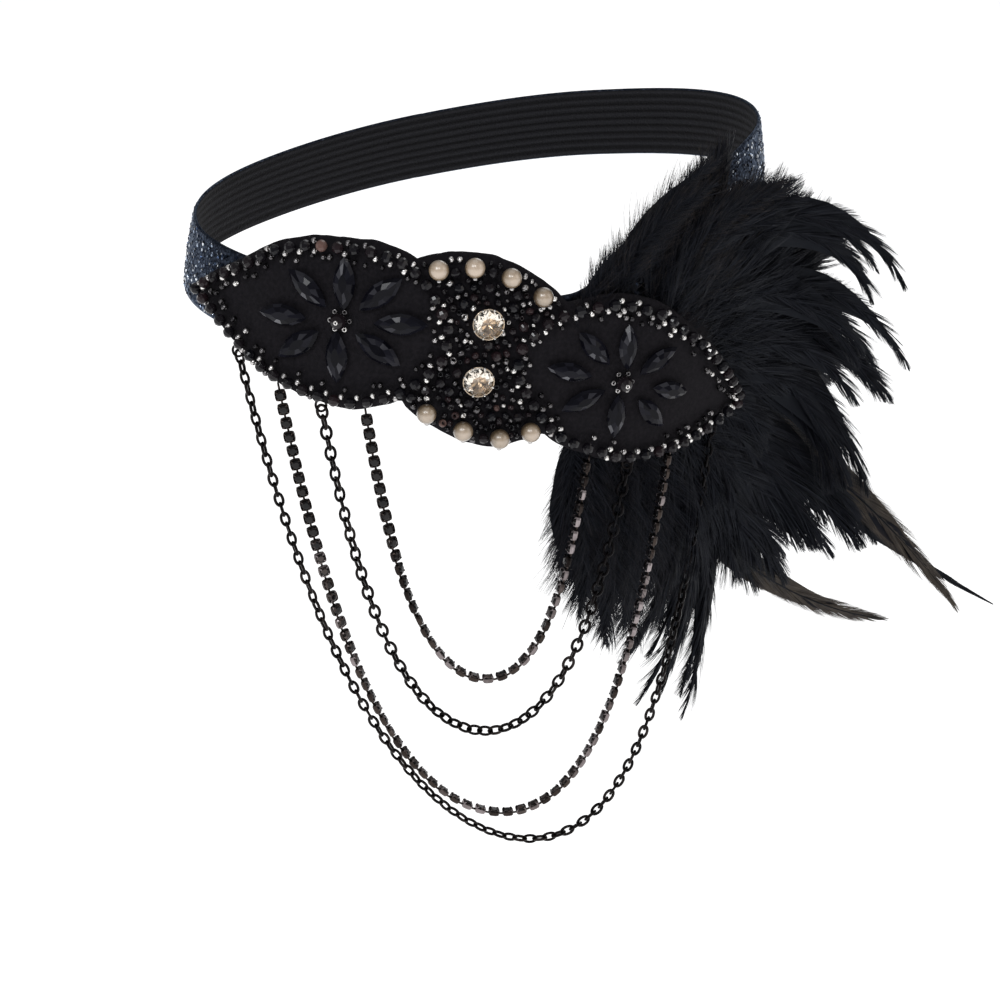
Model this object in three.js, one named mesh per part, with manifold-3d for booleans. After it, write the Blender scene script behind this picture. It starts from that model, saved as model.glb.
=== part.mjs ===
// Feather headband: a loop of glitter elastic, a beaded felt applique, four swag chains and a plume.
// Millimetres. +Z is up, the wearer faces -Y, and the applique is on the wearer's left, +X.
// The origin is the middle of the head hollow, at the height of the loop.
import * as THREE from "three";
import Module from "manifold-3d";

const wasm = await Module();
wasm.setup();

// The head that the loop fits: an egg, widest below the loop, leaning back as it rises
const HEAD_HALF_WIDTH = 74;
const HEAD_HALF_LENGTH = 93;
const HEAD_DOME = 130;
const HEAD_WIDEST_HEIGHT = -22;
const HEAD_LEAN = 0.12;

// Layers, measured outwards from the head
const GAP = 0.3;
const BAND_WIDTH = 23;
const BAND_THICKNESS = 1.2;
const FELT_THICKNESS = 2;
const FELT_REST = BAND_THICKNESS + GAP;
const PAD_THICKNESS = 2;
const PAD_REST = BAND_THICKNESS + GAP;
const LEAF_LIFT = 6;
const LEAF_LIFT_START = -8;
const LEAF_LIFT_FULL = 40;

// Beads and stones
const RIM_BEAD = 3.8;
const RIM_INSET = 3;
const PEARL = 6;
const CRYSTAL = 9.4;
const CRYSTAL_HEIGHT = 5;
const FLOWER_CENTRE = 5;
const PETAL_HEIGHT = 2.6;
const STONE_SEAT = 0.5;

// Chains
const CUP_WIDTH = 3.4;
const CABLE_WIDTH = 3.8;
const TUBE_SIDES = 8;

// Heights are read at a girth, the distance round the head from the +X side, positive towards the back
const BAND_PATH = [
  { girth: -263, height: 2 },
  { girth: -200, height: -6 },
  { girth: -132, height: -11.5 },
  { girth: -100, height: -14 },
  { girth: -60, height: -19 },
  { girth: -20, height: -23 },
  { girth: 5, height: -22 },
  { girth: 30, height: -10 },
  { girth: 60, height: 7 },
  { girth: 90, height: 13.5 },
  { girth: 132, height: 15.5 },
  { girth: 200, height: 10 },
  { girth: 263, height: 2 },
];

// Sections of the applique's three lobes, from one end of each lobe to the other
const LEFT_LEAF = [
  { girth: -117, top: -14, bottom: -18.5 },
  { girth: -109, top: -9, bottom: -21.5 },
  { girth: -97, top: -2.5, bottom: -28.8 },
  { girth: -84, top: 4.5, bottom: -37 },
  { girth: -70, top: 7.2, bottom: -41.8 },
  { girth: -57, top: 6.8, bottom: -44 },
  { girth: -47, top: 4.4, bottom: -42 },
  { girth: -40, top: 0.5, bottom: -39 },
  { girth: -34, top: -6.5, bottom: -34 },
  { girth: -30, top: -14, bottom: -29.5 },
  { girth: -28, top: -20, bottom: -25 },
];
const MIDDLE_LOBE = [
  { girth: -46, top: -8, bottom: -32 },
  { girth: -41, top: 2.5, bottom: -42.5 },
  { girth: -31, top: 4.2, bottom: -49.5 },
  { girth: -22, top: 3.3, bottom: -54 },
  { girth: -13, top: 0, bottom: -56 },
  { girth: -5, top: -5, bottom: -54.5 },
  { girth: 2, top: -11, bottom: -52.5 },
  { girth: 7, top: -22, bottom: -45 },
];
const RIGHT_LEAF = [
  { girth: -13, top: -26, bottom: -31 },
  { girth: -11, top: -22, bottom: -36 },
  { girth: -7, top: -17.5, bottom: -42.5 },
  { girth: -1, top: -13.5, bottom: -50 },
  { girth: 6, top: -11.6, bottom: -56 },
  { girth: 16, top: -10.4, bottom: -60.3 },
  { girth: 29, top: -13.6, bottom: -63.8 },
  { girth: 43, top: -23, bottom: -63.4 },
  { girth: 56, top: -33, bottom: -61.4 },
  { girth: 68, top: -43.5, bottom: -58 },
  { girth: 77, top: -51.5, bottom: -55.5 },
];

const FLOWERS = [
  { side: "left", girth: -62, height: -16.7, slope: 0, reach: 17.5, rise: 10.8, length: 14, width: 6 },
  { side: "right", girth: 22, height: -37, slope: -0.28, reach: 16, rise: 10.5, length: 12.5, width: 5.4 },
];
const PETAL_ANGLES = [0, 52, 90, 128, 180, 228, 270, 312];

const PEARLS = [
  { name: "pearl_upper_1", girth: -35.5, height: -0.8 },
  { name: "pearl_upper_2", girth: -25.5, height: -0.2 },
  { name: "pearl_upper_3", girth: -14.9, height: -3.4 },
  { name: "pearl_upper_4", girth: -5.1, height: -9.4 },
  { name: "pearl_lower_1", girth: -34.7, height: -43 },
  { name: "pearl_lower_2", girth: -23.8, height: -48.6 },
  { name: "pearl_lower_3", girth: -12.8, height: -51.6 },
  { name: "pearl_lower_4", girth: -3.6, height: -50.2 },
];
const CRYSTALS = [
  { name: "crystal_upper", girth: -20, height: -16.5 },
  { name: "crystal_lower", girth: -21, height: -33.5 },
];

// Each chain hangs a little below the felt's lower edge at two girths, its low point swung back
const CHAINS = [
  { name: "outer_cable_chain", width: CABLE_WIDTH, from: -96, to: 66, drop: [2, 1.6], length: 370, swing: 16 },
  { name: "outer_cup_chain", width: CUP_WIDTH, from: -80.5, to: 46.5, drop: [1.6, 1], length: 312, swing: 7.5 },
  { name: "inner_cable_chain", width: CABLE_WIDTH, from: -66.5, to: 31, drop: [1.4, 1], length: 233, swing: 2 },
  { name: "inner_cup_chain", width: CUP_WIDTH, from: -52.7, to: 17, drop: [1.4, 1.4], length: 184, swing: 2 },
];

// Feathers: the root's place on the head, the heading in degrees from backwards to upwards, the turn along
// the feather, and how far it opens away from the head
const OUTER_FEATHERS = [
  { girth: 22, height: -28, heading: 99, curl: -84, length: 70, width: 17, lift: 8 },
  { girth: 32, height: -26, heading: 82, curl: -85, length: 72, width: 17, lift: 10 },
  { girth: 40, height: -26, heading: 65, curl: -134, length: 113, width: 13, lift: 14 },
  { girth: 46, height: -29, heading: 30, curl: -95, length: 107, width: 13, lift: 18 },
  { girth: 52, height: -34, heading: 11, curl: -67, length: 96, width: 15, lift: 22 },
  { girth: 56, height: -40, heading: -11, curl: -53, length: 102, width: 17, lift: 24 },
  { girth: 58, height: -45, heading: -33, curl: -12, length: 171, width: 10, lift: 36 },
  { girth: 58, height: -47, heading: -34, curl: -13, length: 161, width: 9, lift: 32 },
  { girth: 57, height: -47, heading: -22, curl: -38, length: 116, width: 16, lift: 26 },
  { girth: 54, height: -50, heading: -24, curl: -36, length: 106, width: 16, lift: 28 },
  { girth: 52, height: -52, heading: -32, curl: -24, length: 98, width: 16, lift: 26 },
  { girth: 52, height: -54, heading: -64, curl: 42, length: 145, width: 6, lift: 24 },
  { girth: 44, height: -53, heading: -53, curl: -39, length: 137, width: 14, lift: 0 },
  { girth: 38, height: -54, heading: -50, curl: -60, length: 117, width: 16, lift: 0 },
  { girth: 27, height: -53, heading: -83, curl: -5, length: 87, width: 22, lift: 0 },
  { girth: 20, height: -48, heading: -102, curl: 18, length: 59, width: 18, lift: 0 },
];
const TIERS = [
  { count: 10, share: 0.92, width: 24, first: -98, last: 72, lift: 6, layer: 0.8 },
  { count: 9, share: 0.7, width: 22, first: -88, last: 80, lift: 14, layer: 1.3 },
  { count: 7, share: 0.5, width: 20, first: -70, last: 84, lift: 22, layer: 1.4 },
];
const TIER_REACH = [
  { girth: -100, reach: 70 },
  { girth: -60, reach: 92 },
  { girth: -20, reach: 90 },
  { girth: 25, reach: 78 },
  { girth: 60, reach: 58 },
  { girth: 90, reach: 44 },
];
const PAD = { girth: 39, height: -39, reach: 27, rise: 19 };
const TIER_ROOT = 0.75;
const FEATHER_THICKNESS = 1.2;
const FEATHER_OPEN = 0.6;
const FEATHER_OUTLINE = [
  { along: 0, width: 0.3 },
  { along: 0.25, width: 0.8 },
  { along: 0.5, width: 1 },
  { along: 0.75, width: 0.8 },
  { along: 1, width: 0.1 },
];
const FEATHER_GRAIN = 24;
const OUTER_SPANS = 6;
const TIER_SPANS = 4;

const COLOURS = {
  elastic: { color: 0x23283a, roughness: 0.45, metalness: 0.3 },
  felt: { color: 0x17171b, roughness: 0.95, metalness: 0 },
  jet: { color: 0x0c0c10, roughness: 0.12, metalness: 0 },
  pearl: { color: 0xe9e0d0, roughness: 0.25, metalness: 0 },
  crystal: { color: 0xd8cdb8, roughness: 0.05, metalness: 0 },
  gunmetal: { color: 0x3a3a40, roughness: 0.3, metalness: 1 },
  feather: { color: 0x121218, roughness: 0.7, metalness: 0 },
};

const radians = THREE.MathUtils.degToRad;
const UP = new THREE.Vector3(0, 0, 1);

// A smooth curve through one column of a table, flat at its peaks so that it never passes a row's value
class Profile {
  constructor(rows, column, key = "girth") {
    this.x = rows.map((row) => row[key]);
    this.y = rows.map((row) => row[column]);
    const step = this.x.slice(1).map((x, i) => (this.y[i + 1] - this.y[i]) / (x - this.x[i]));
    const inner = step.slice(1).map((s, i) => (s * step[i] > 0 ? (2 * s * step[i]) / (s + step[i]) : 0));
    this.slope = [step[0], ...inner, step[step.length - 1]];
  }

  at(x) {
    const last = this.x.length - 2;
    let i = 0;
    while (i < last && x > this.x[i + 1]) i += 1;
    const span = this.x[i + 1] - this.x[i];
    const t = THREE.MathUtils.clamp((x - this.x[i]) / span, 0, 1);
    const near = this.y[i] * (1 + 2 * t) * (1 - t) ** 2 + this.slope[i] * span * t * (1 - t) ** 2;
    const far = this.y[i + 1] * t * t * (3 - 2 * t) + this.slope[i + 1] * span * t * t * (t - 1);
    return near + far;
  }

  contains(x) {
    return x >= this.x[0] && x <= this.x[this.x.length - 1];
  }
}

// The head's surface, charted by girth and height
class Head {
  constructor() {
    this.arc = [0];
    const steps = 720;
    for (let i = 0; i < steps; i += 1) {
      const angle = ((i + 0.5) * Math.PI) / steps;
      const across = HEAD_HALF_WIDTH * Math.sin(angle);
      const along = HEAD_HALF_LENGTH * Math.cos(angle);
      this.arc.push(this.arc[i] + (Math.hypot(across, along) * Math.PI) / steps);
    }
  }

  angle(girth) {
    const distance = Math.abs(girth);
    let i = 0;
    while (i < this.arc.length - 2 && this.arc[i + 1] < distance) i += 1;
    const part = (distance - this.arc[i]) / (this.arc[i + 1] - this.arc[i]);
    return (Math.sign(girth) * (i + part) * Math.PI) / (this.arc.length - 1);
  }

  frame(girth, height) {
    const angle = this.angle(girth);
    const level = height - HEAD_WIDEST_HEIGHT;
    const round = Math.sqrt(1 - (level / HEAD_DOME) ** 2);
    const x = HEAD_HALF_WIDTH * round * Math.cos(angle);
    const y = HEAD_HALF_LENGTH * round * Math.sin(angle);
    const tilt = level / HEAD_DOME ** 2 - (HEAD_LEAN * y) / HEAD_HALF_LENGTH ** 2;
    const out = new THREE.Vector3(x / HEAD_HALF_WIDTH ** 2, y / HEAD_HALF_LENGTH ** 2, tilt).normalize();
    const up = UP.clone().addScaledVector(out, -out.z).normalize();
    const back = new THREE.Vector3().crossVectors(up, out);
    return { point: new THREE.Vector3(x, y + HEAD_LEAN * level, height), out, up, back };
  }

  point(girth, height, offset) {
    const { point, out } = this.frame(girth, height);
    return point.addScaledVector(out, offset);
  }
}

const head = new Head();

function material(name) {
  return new THREE.MeshStandardMaterial(COLOURS[name]);
}

function node(name, geometry, finish) {
  const mesh = new THREE.Mesh(geometry, material(finish));
  mesh.name = name;
  return mesh;
}

// Joins rings of equal length into one closed surface; an open row of rings is capped at both ends
function loft(rings, closed) {
  const count = rings[0].length;
  const index = [];
  const quad = (a, b, c, d) => index.push(a, b, c, a, c, d);
  const spans = closed ? rings.length : rings.length - 1;
  for (let i = 0; i < spans; i += 1) {
    const near = i * count;
    const far = ((i + 1) % rings.length) * count;
    for (let j = 0; j < count; j += 1) {
      const k = (j + 1) % count;
      quad(near + j, near + k, far + k, far + j);
    }
  }
  const end = (rings.length - 1) * count;
  for (let j = 0; !closed && j < count / 2 - 1; j += 1) {
    const a = [j, j + 1, count - 2 - j, count - 1 - j];
    quad(a[3], a[2], a[1], a[0]);
    quad(end + a[0], end + a[1], end + a[2], end + a[3]);
  }
  const geometry = new THREE.BufferGeometry().setFromPoints(rings.flat());
  return geometry.setIndex(index);
}

function solidOf(geometry) {
  const position = geometry.getAttribute("position");
  const index = geometry.index ? geometry.index.array : Array.from({ length: position.count }, (_, i) => i);
  const mesh = new wasm.Mesh({
    numProp: 3,
    vertProperties: new Float32Array(position.array),
    triVerts: new Uint32Array(index),
  });
  mesh.merge();
  return new wasm.Manifold(mesh);
}

// Joins overlapping geometries into one body, with any hollow sealed between them filled
function fuse(geometries) {
  const joined = wasm.Manifold.union(geometries.map(solidOf));
  const filled = joined.decompose().filter((body) => body.volume() > 0);
  const mesh = wasm.Manifold.union(filled).getMesh();
  const geometry = new THREE.BufferGeometry();
  geometry.setAttribute("position", new THREE.BufferAttribute(mesh.vertProperties, 3));
  return geometry.setIndex(new THREE.BufferAttribute(mesh.triVerts, 1));
}

// The loop: a flat strip that follows the head, its edges square to its path
function elasticBand() {
  const stations = 88;
  const middle = new Profile(BAND_PATH, "height");
  const girth = head.arc[head.arc.length - 1] * 2;
  const rings = [];
  for (let i = 0; i < stations; i += 1) {
    const g = (i / stations - 0.5) * girth;
    const slope = (middle.at(g + 1) - middle.at(g - 1)) / 2;
    const half = (BAND_WIDTH / 2) * Math.hypot(1, slope);
    const low = middle.at(g) - half;
    const high = middle.at(g) + half;
    rings.push([
      head.point(g, low, 0),
      head.point(g, high, 0),
      head.point(g, high, BAND_THICKNESS),
      head.point(g, low, BAND_THICKNESS),
    ]);
  }
  return loft(rings, true);
}

// One lobe of the applique, from its table of sections
class Lobe {
  constructor(rows) {
    this.top = new Profile(rows, "top");
    this.bottom = new Profile(rows, "bottom");
    this.first = rows[0].girth;
    this.last = rows[rows.length - 1].girth;
  }

  // One edge, top or bottom, moved inwards: points of the chart that start and end on the lobe's middle line
  edge(profile, inset, count) {
    const side = profile === this.top ? -1 : 1;
    const points = Array.from({ length: count + 1 }, (_, i) => {
      const share = 0.5 - 0.5 * Math.cos((Math.PI * i) / count);
      const g = THREE.MathUtils.lerp(this.first + inset, this.last - inset, share);
      const slope = profile.at(g + 0.5) - profile.at(g - 0.5);
      const middle = (this.top.at(g) + this.bottom.at(g)) / 2;
      const moved = profile.at(g) + side * inset * Math.min(Math.hypot(1, slope), 2);
      const ends = i === 0 || i === count;
      return new THREE.Vector3(g, ends ? middle : side * Math.min(side * moved, side * middle), 0);
    });
    return new THREE.CatmullRomCurve3(points).getSpacedPoints(count);
  }
}

const leftLeaf = new Lobe(LEFT_LEAF);
const middleLobe = new Lobe(MIDDLE_LOBE);
const rightLeaf = new Lobe(RIGHT_LEAF);
const lobes = [leftLeaf, middleLobe, rightLeaf];

const felt = {
  top: (g) => Math.max(...lobes.filter((lobe) => lobe.top.contains(g)).map((lobe) => lobe.top.at(g))),
  bottom: (g) => Math.min(...lobes.filter((lobe) => lobe.top.contains(g)).map((lobe) => lobe.bottom.at(g))),
  // The right leaf stands off the head, over the roots of the feathers
  back: (g) => FELT_REST + LEAF_LIFT * THREE.MathUtils.smoothstep(g, LEAF_LIFT_START, LEAF_LIFT_FULL),
  front: (g) => felt.back(g) + FELT_THICKNESS,
};

// The felt's front face at one place of the chart
function feltFrame(girth, height) {
  const at = (g, h) => head.point(g, h, felt.front(g));
  const back = at(girth + 1, height).sub(at(girth - 1, height)).normalize();
  const rise = at(girth, height + 1).sub(at(girth, height - 1));
  const out = new THREE.Vector3().crossVectors(back, rise).normalize();
  return { point: at(girth, height), out, up: new THREE.Vector3().crossVectors(out, back), back };
}

// Stands a geometry on the felt: its own Z points away from the felt and its X turns from backwards to up
function stand(geometry, { girth, height }, lift, turn = 0) {
  const { point, out, up, back } = feltFrame(girth, height);
  const place = new THREE.Matrix4().makeBasis(back, up, out).setPosition(point.addScaledVector(out, lift));
  return geometry.clone().applyMatrix4(place.multiply(new THREE.Matrix4().makeRotationZ(radians(turn))));
}

function appliqueBacking() {
  const pitch = 2.6;
  const rows = 3;
  const stations = Math.round((rightLeaf.last - leftLeaf.first) / pitch);
  const rings = [];
  for (let i = 0; i <= stations; i += 1) {
    const g = THREE.MathUtils.lerp(leftLeaf.first, rightLeaf.last, i / stations);
    const ring = [];
    for (let j = 0; j <= rows; j += 1) {
      ring.push(head.point(g, THREE.MathUtils.lerp(felt.bottom(g), felt.top(g), j / rows), felt.back(g)));
    }
    for (let j = rows; j >= 0; j -= 1) {
      ring.push(head.point(g, THREE.MathUtils.lerp(felt.bottom(g), felt.top(g), j / rows), felt.front(g)));
    }
    rings.push(ring);
  }
  return loft(rings, false);
}

// The string of beads round a leaf: two runs, over and under, that meet at both tips
function leafRim(leaf) {
  const radius = RIM_BEAD / 2;
  const runs = [leaf.top, leaf.bottom].map((profile) => {
    const chart = leaf.edge(profile, RIM_INSET, 20);
    const middle = chart.map((c) => head.point(c.x, c.y, felt.front(c.x) + GAP + radius));
    const rings = chart.map((c, i) => {
      const { out } = feltFrame(c.x, c.y);
      const after = middle[Math.min(i + 1, middle.length - 1)];
      const along = after.clone().sub(middle[Math.max(i - 1, 0)]).normalize();
      const side = new THREE.Vector3().crossVectors(out, along).normalize();
      return Array.from({ length: TUBE_SIDES }, (_, k) => {
        const angle = (2 * Math.PI * (k + 0.5)) / TUBE_SIDES;
        const ring = middle[i].clone().addScaledVector(side, radius * Math.cos(angle));
        return ring.addScaledVector(out, radius * Math.sin(angle));
      });
    });
    return loft(rings, false);
  });
  return fuse(runs);
}

// A marquise stone: a pointed oval with a girdle, a bevelled crown and a flat table
function petalStone(length, width) {
  const outline = [
    { x: 0.5, y: 0 },
    { x: 0.26, y: 0.42 },
    { x: 0, y: 0.5 },
    { x: -0.26, y: 0.42 },
    { x: -0.5, y: 0 },
    { x: -0.26, y: -0.42 },
    { x: 0, y: -0.5 },
    { x: 0.26, y: -0.42 },
  ];
  const levels = [
    { height: 0, size: 0.9 },
    { height: 0.35, size: 1 },
    { height: 1, size: 0.55 },
  ];
  const rings = levels.map((level) =>
    outline.map((p) => new THREE.Vector3(
      p.x * length * level.size, p.y * width * level.size, PETAL_HEIGHT * level.height)));
  return loft(rings, false);
}

function petals(flower) {
  const stone = petalStone(flower.length, flower.width);
  return PETAL_ANGLES.map((angle, i) => {
    const along = flower.reach * Math.cos(radians(angle));
    const across = flower.rise * Math.sin(radians(angle)) + flower.slope * along;
    const turn = THREE.MathUtils.radToDeg(Math.atan2(across, along));
    const place = { girth: flower.girth + along, height: flower.height + across };
    const placed = stand(stone, place, STONE_SEAT, turn);
    return node(`${flower.side}_petal_${i + 1}`, placed, "jet");
  });
}

function turned(points, sides) {
  const profile = points.map((p) => new THREE.Vector2(p.radius, p.height));
  return new THREE.LatheGeometry(profile, sides).rotateX(Math.PI / 2);
}

// A round bead that rests on the felt
function bead(diameter, sides, row) {
  const ball = new THREE.SphereGeometry(diameter / 2, sides, 5).rotateX(Math.PI / 2);
  return stand(ball, row, GAP + diameter / 2);
}

// A round stone with a table, held in a plain cup
function crystal(row) {
  const r = CRYSTAL / 2;
  const stone = turned([
    { radius: 0, height: 0 },
    { radius: r * 0.72, height: 0 },
    { radius: r, height: CRYSTAL_HEIGHT * 0.5 },
    { radius: r, height: CRYSTAL_HEIGHT * 0.6 },
    { radius: r * 0.56, height: CRYSTAL_HEIGHT },
    { radius: 0, height: CRYSTAL_HEIGHT },
  ], 12);
  return stand(stone, row, STONE_SEAT);
}

// A free chain between two points of the felt's lower edge: a catenary, swung along its span
class Swag {
  constructor({ from, to, length, swing, drop }) {
    const end = (g, below) => head.point(g, felt.bottom(g) - below, felt.back(g) + FELT_THICKNESS / 2);
    this.start = end(from, drop[0]);
    this.finish = end(to, drop[1]);
    this.length = length;
    this.swing = swing;
    this.span = new THREE.Vector3().subVectors(this.finish, this.start).setZ(0);
    this.reach = this.span.length();
    this.span.normalize();
    this.out = new THREE.Vector3().crossVectors(this.span, UP);
    this.rise = this.finish.z - this.start.z;
    this.scale = this.solve();
    const lean = Math.log((length + this.rise) / (length - this.rise));
    this.low = (this.reach - this.scale * lean) / 2;
  }

  // The catenary's size, by halving the interval that holds it
  solve() {
    const ratio = Math.sqrt(this.length ** 2 - this.rise ** 2) / this.reach;
    let small = 1e-4;
    let large = 20;
    for (let i = 0; i < 60; i += 1) {
      const x = (small + large) / 2;
      if (Math.sinh(x) / x < ratio) small = x;
      else large = x;
    }
    return this.reach / (small + large);
  }

  at(distance) {
    const begin = this.scale * Math.sinh(-this.low / this.scale);
    const u = this.low + this.scale * Math.asinh((distance + begin) / this.scale);
    const fall = Math.cosh((u - this.low) / this.scale) - Math.cosh(this.low / this.scale);
    const along = u + this.swing * Math.sin((Math.PI * u) / this.reach);
    return this.start.clone().addScaledVector(this.span, along).addScaledVector(UP, this.scale * fall);
  }

  curve(count) {
    const points = Array.from({ length: count + 1 }, (_, i) => this.at((this.length * i) / count));
    return new THREE.CatmullRomCurve3(points);
  }
}

function chainTube(swag, width) {
  const steps = Math.round(swag.length / (2.4 * width));
  const circle = new THREE.Shape(Array.from({ length: TUBE_SIDES }, (_, i) => {
    const angle = (2 * Math.PI * i) / TUBE_SIDES;
    return new THREE.Vector2((width / 2) * Math.cos(angle), (width / 2) * Math.sin(angle));
  }));
  return new THREE.ExtrudeGeometry(circle, { steps, bevelEnabled: false, extrudePath: swag.curve(steps) });
}

function chain(row) {
  return node(row.name, chainTube(new Swag(row), row.width), "gunmetal");
}

// A thin lens-shaped blade that turns and opens along its length
function feather({ girth, height, heading, curl, length, width, lift, layer = 1, spans = OUTER_SPANS }) {
  const { out, up, back } = head.frame(girth, height);
  const outline = new Profile(FEATHER_OUTLINE, "width", "along");
  const at = head.point(girth, height, PAD_REST + layer);
  const rings = [];
  for (let i = 0; i <= FEATHER_GRAIN; i += 1) {
    const share = i / FEATHER_GRAIN;
    const yaw = radians(heading + curl * share);
    const pitch = radians(lift * Math.min(1, share / FEATHER_OPEN) ** 2);
    const flat = back.clone().multiplyScalar(Math.cos(yaw)).addScaledVector(up, Math.sin(yaw));
    const along = flat.clone().multiplyScalar(Math.cos(pitch)).addScaledVector(out, Math.sin(pitch));
    const face = out.clone().multiplyScalar(Math.cos(pitch)).addScaledVector(flat, -Math.sin(pitch));
    if (i % (FEATHER_GRAIN / spans) === 0) {
      const size = outline.at(share);
      const side = new THREE.Vector3().crossVectors(face, along).multiplyScalar((width / 2) * size);
      const thick = face.clone().multiplyScalar((FEATHER_THICKNESS / 2) * (0.4 + 0.6 * size));
      rings.push([
        at.clone().sub(side),
        at.clone().sub(thick),
        at.clone().add(side),
        at.clone().add(thick),
      ]);
    }
    at.addScaledVector(along, length / FEATHER_GRAIN);
  }
  return loft(rings, false);
}

function tierFeathers(tier) {
  const reach = new Profile(TIER_REACH, "reach");
  return Array.from({ length: tier.count }, (_, i) => {
    const heading = THREE.MathUtils.lerp(tier.first, tier.last, i / (tier.count - 1));
    return feather({
      girth: PAD.girth + TIER_ROOT * PAD.reach * Math.cos(radians(heading)),
      height: PAD.height + TIER_ROOT * PAD.rise * Math.sin(radians(heading)),
      heading,
      curl: heading > -60 ? -26 : 0,
      length: reach.at(heading) * tier.share,
      width: tier.width,
      lift: heading > -60 ? tier.lift : 0,
      layer: tier.layer,
      spans: TIER_SPANS,
    });
  });
}

// The pad that the feathers are sewn to: a flat oval that follows the head
function plumePad() {
  const stations = 8;
  const rings = [];
  for (let i = 0; i <= stations; i += 1) {
    const side = THREE.MathUtils.lerp(-0.94, 0.94, i / stations);
    const half = PAD.rise * Math.sqrt(1 - side * side);
    const g = PAD.girth + PAD.reach * side;
    const low = PAD.height - half;
    const high = PAD.height + half;
    rings.push([
      head.point(g, low, PAD_REST),
      head.point(g, PAD.height, PAD_REST),
      head.point(g, high, PAD_REST),
      head.point(g, high, PAD_REST + PAD_THICKNESS),
      head.point(g, PAD.height, PAD_REST + PAD_THICKNESS),
      head.point(g, low, PAD_REST + PAD_THICKNESS),
    ]);
  }
  return loft(rings, false);
}

function plume() {
  return fuse([plumePad(), ...OUTER_FEATHERS.map(feather), ...TIERS.flatMap(tierFeathers)]);
}

const headband = new THREE.Group();
headband.name = "feather_headband";
headband.add(node("elastic_band", elasticBand(), "elastic"));
headband.add(node("applique_backing", appliqueBacking(), "felt"));
headband.add(node("left_leaf_rim", leafRim(leftLeaf), "jet"));
headband.add(node("right_leaf_rim", leafRim(rightLeaf), "jet"));
for (const flower of FLOWERS) {
  headband.add(...petals(flower));
  headband.add(node(`${flower.side}_flower_centre`, bead(FLOWER_CENTRE, 10, flower), "jet"));
}
for (const row of PEARLS) headband.add(node(row.name, bead(PEARL, 10, row), "pearl"));
for (const row of CRYSTALS) headband.add(node(row.name, crystal(row), "crystal"));
for (const row of CHAINS) headband.add(chain(row));
headband.add(node("feather_plume", plume(), "feather"));

export default headband;
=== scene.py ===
"""Looks of the feather headband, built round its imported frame.

The charts and tables are in millimetres, and every object is in metres.
"""

import logging
import math
from dataclasses import dataclass, replace
from enum import Enum
from typing import Sequence

import bpy
import numpy as np
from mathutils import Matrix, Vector


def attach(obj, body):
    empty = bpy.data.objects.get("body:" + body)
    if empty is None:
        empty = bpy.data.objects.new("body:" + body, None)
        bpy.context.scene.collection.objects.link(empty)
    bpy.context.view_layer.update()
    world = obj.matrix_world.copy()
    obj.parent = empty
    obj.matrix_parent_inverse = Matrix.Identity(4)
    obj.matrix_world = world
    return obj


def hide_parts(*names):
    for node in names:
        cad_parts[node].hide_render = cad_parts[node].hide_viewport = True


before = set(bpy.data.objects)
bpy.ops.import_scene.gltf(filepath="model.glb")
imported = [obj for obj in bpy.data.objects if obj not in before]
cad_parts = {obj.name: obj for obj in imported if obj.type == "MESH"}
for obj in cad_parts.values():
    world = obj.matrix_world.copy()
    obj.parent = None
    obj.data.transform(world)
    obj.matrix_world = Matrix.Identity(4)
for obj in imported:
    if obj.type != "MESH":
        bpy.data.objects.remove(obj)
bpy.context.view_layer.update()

log = logging.getLogger("headband")
MM = 0.001
TURN = 2.0 * math.pi
UP = np.array([0.0, 0.0, 1.0])
Array, Draws = np.ndarray, np.random.Generator
NodeTree, Socket = bpy.types.NodeTree, bpy.types.NodeSocket
Colour = tuple[float, float, float]
Floats = tuple[float, ...]
Pair = tuple[float, float]
Pairs = tuple[Pair, ...]


def unit(vectors: Array) -> Array:
    """Scale vectors to a length of one."""
    return vectors / np.maximum(np.linalg.norm(vectors, axis=-1, keepdims=True), 1e-12)


def smoothstep(value: Array, low: float, high: float) -> Array:
    """Rise smoothly from 0 at low to 1 at high."""
    share = np.clip((np.asarray(value, float) - low) / (high - low), 0.0, 1.0)
    return share * share * (3.0 - 2.0 * share)


def turned_about(vectors: Array, axis: Array, angle: Array) -> Array:
    """Turn vectors about unit axes.

    Args:
        vectors: The vectors, one in each row.
        axis: The unit axes, one in each row.
        angle: The turns in radians, one for each row.

    Returns:
        The turned vectors.
    """
    c = np.cos(angle)[..., None]
    s = np.sin(angle)[..., None]
    along = np.sum(vectors * axis, axis=-1, keepdims=True)
    return vectors * c + np.cross(axis, vectors) * s + axis * along * (1.0 - c)


def axes_turned(axes: Array, about: Array, angle: Array) -> Array:
    """Turn sets of three axes about unit axes."""
    return np.stack([turned_about(axes[:, i], about, angle) for i in range(3)], -2)


def ring_of(angle: Array, radius: float, level: float) -> Array:
    """Place a ring of points round Z."""
    return np.stack([radius * np.cos(angle), radius * np.sin(angle), np.full(len(angle), level)], -1)


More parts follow.
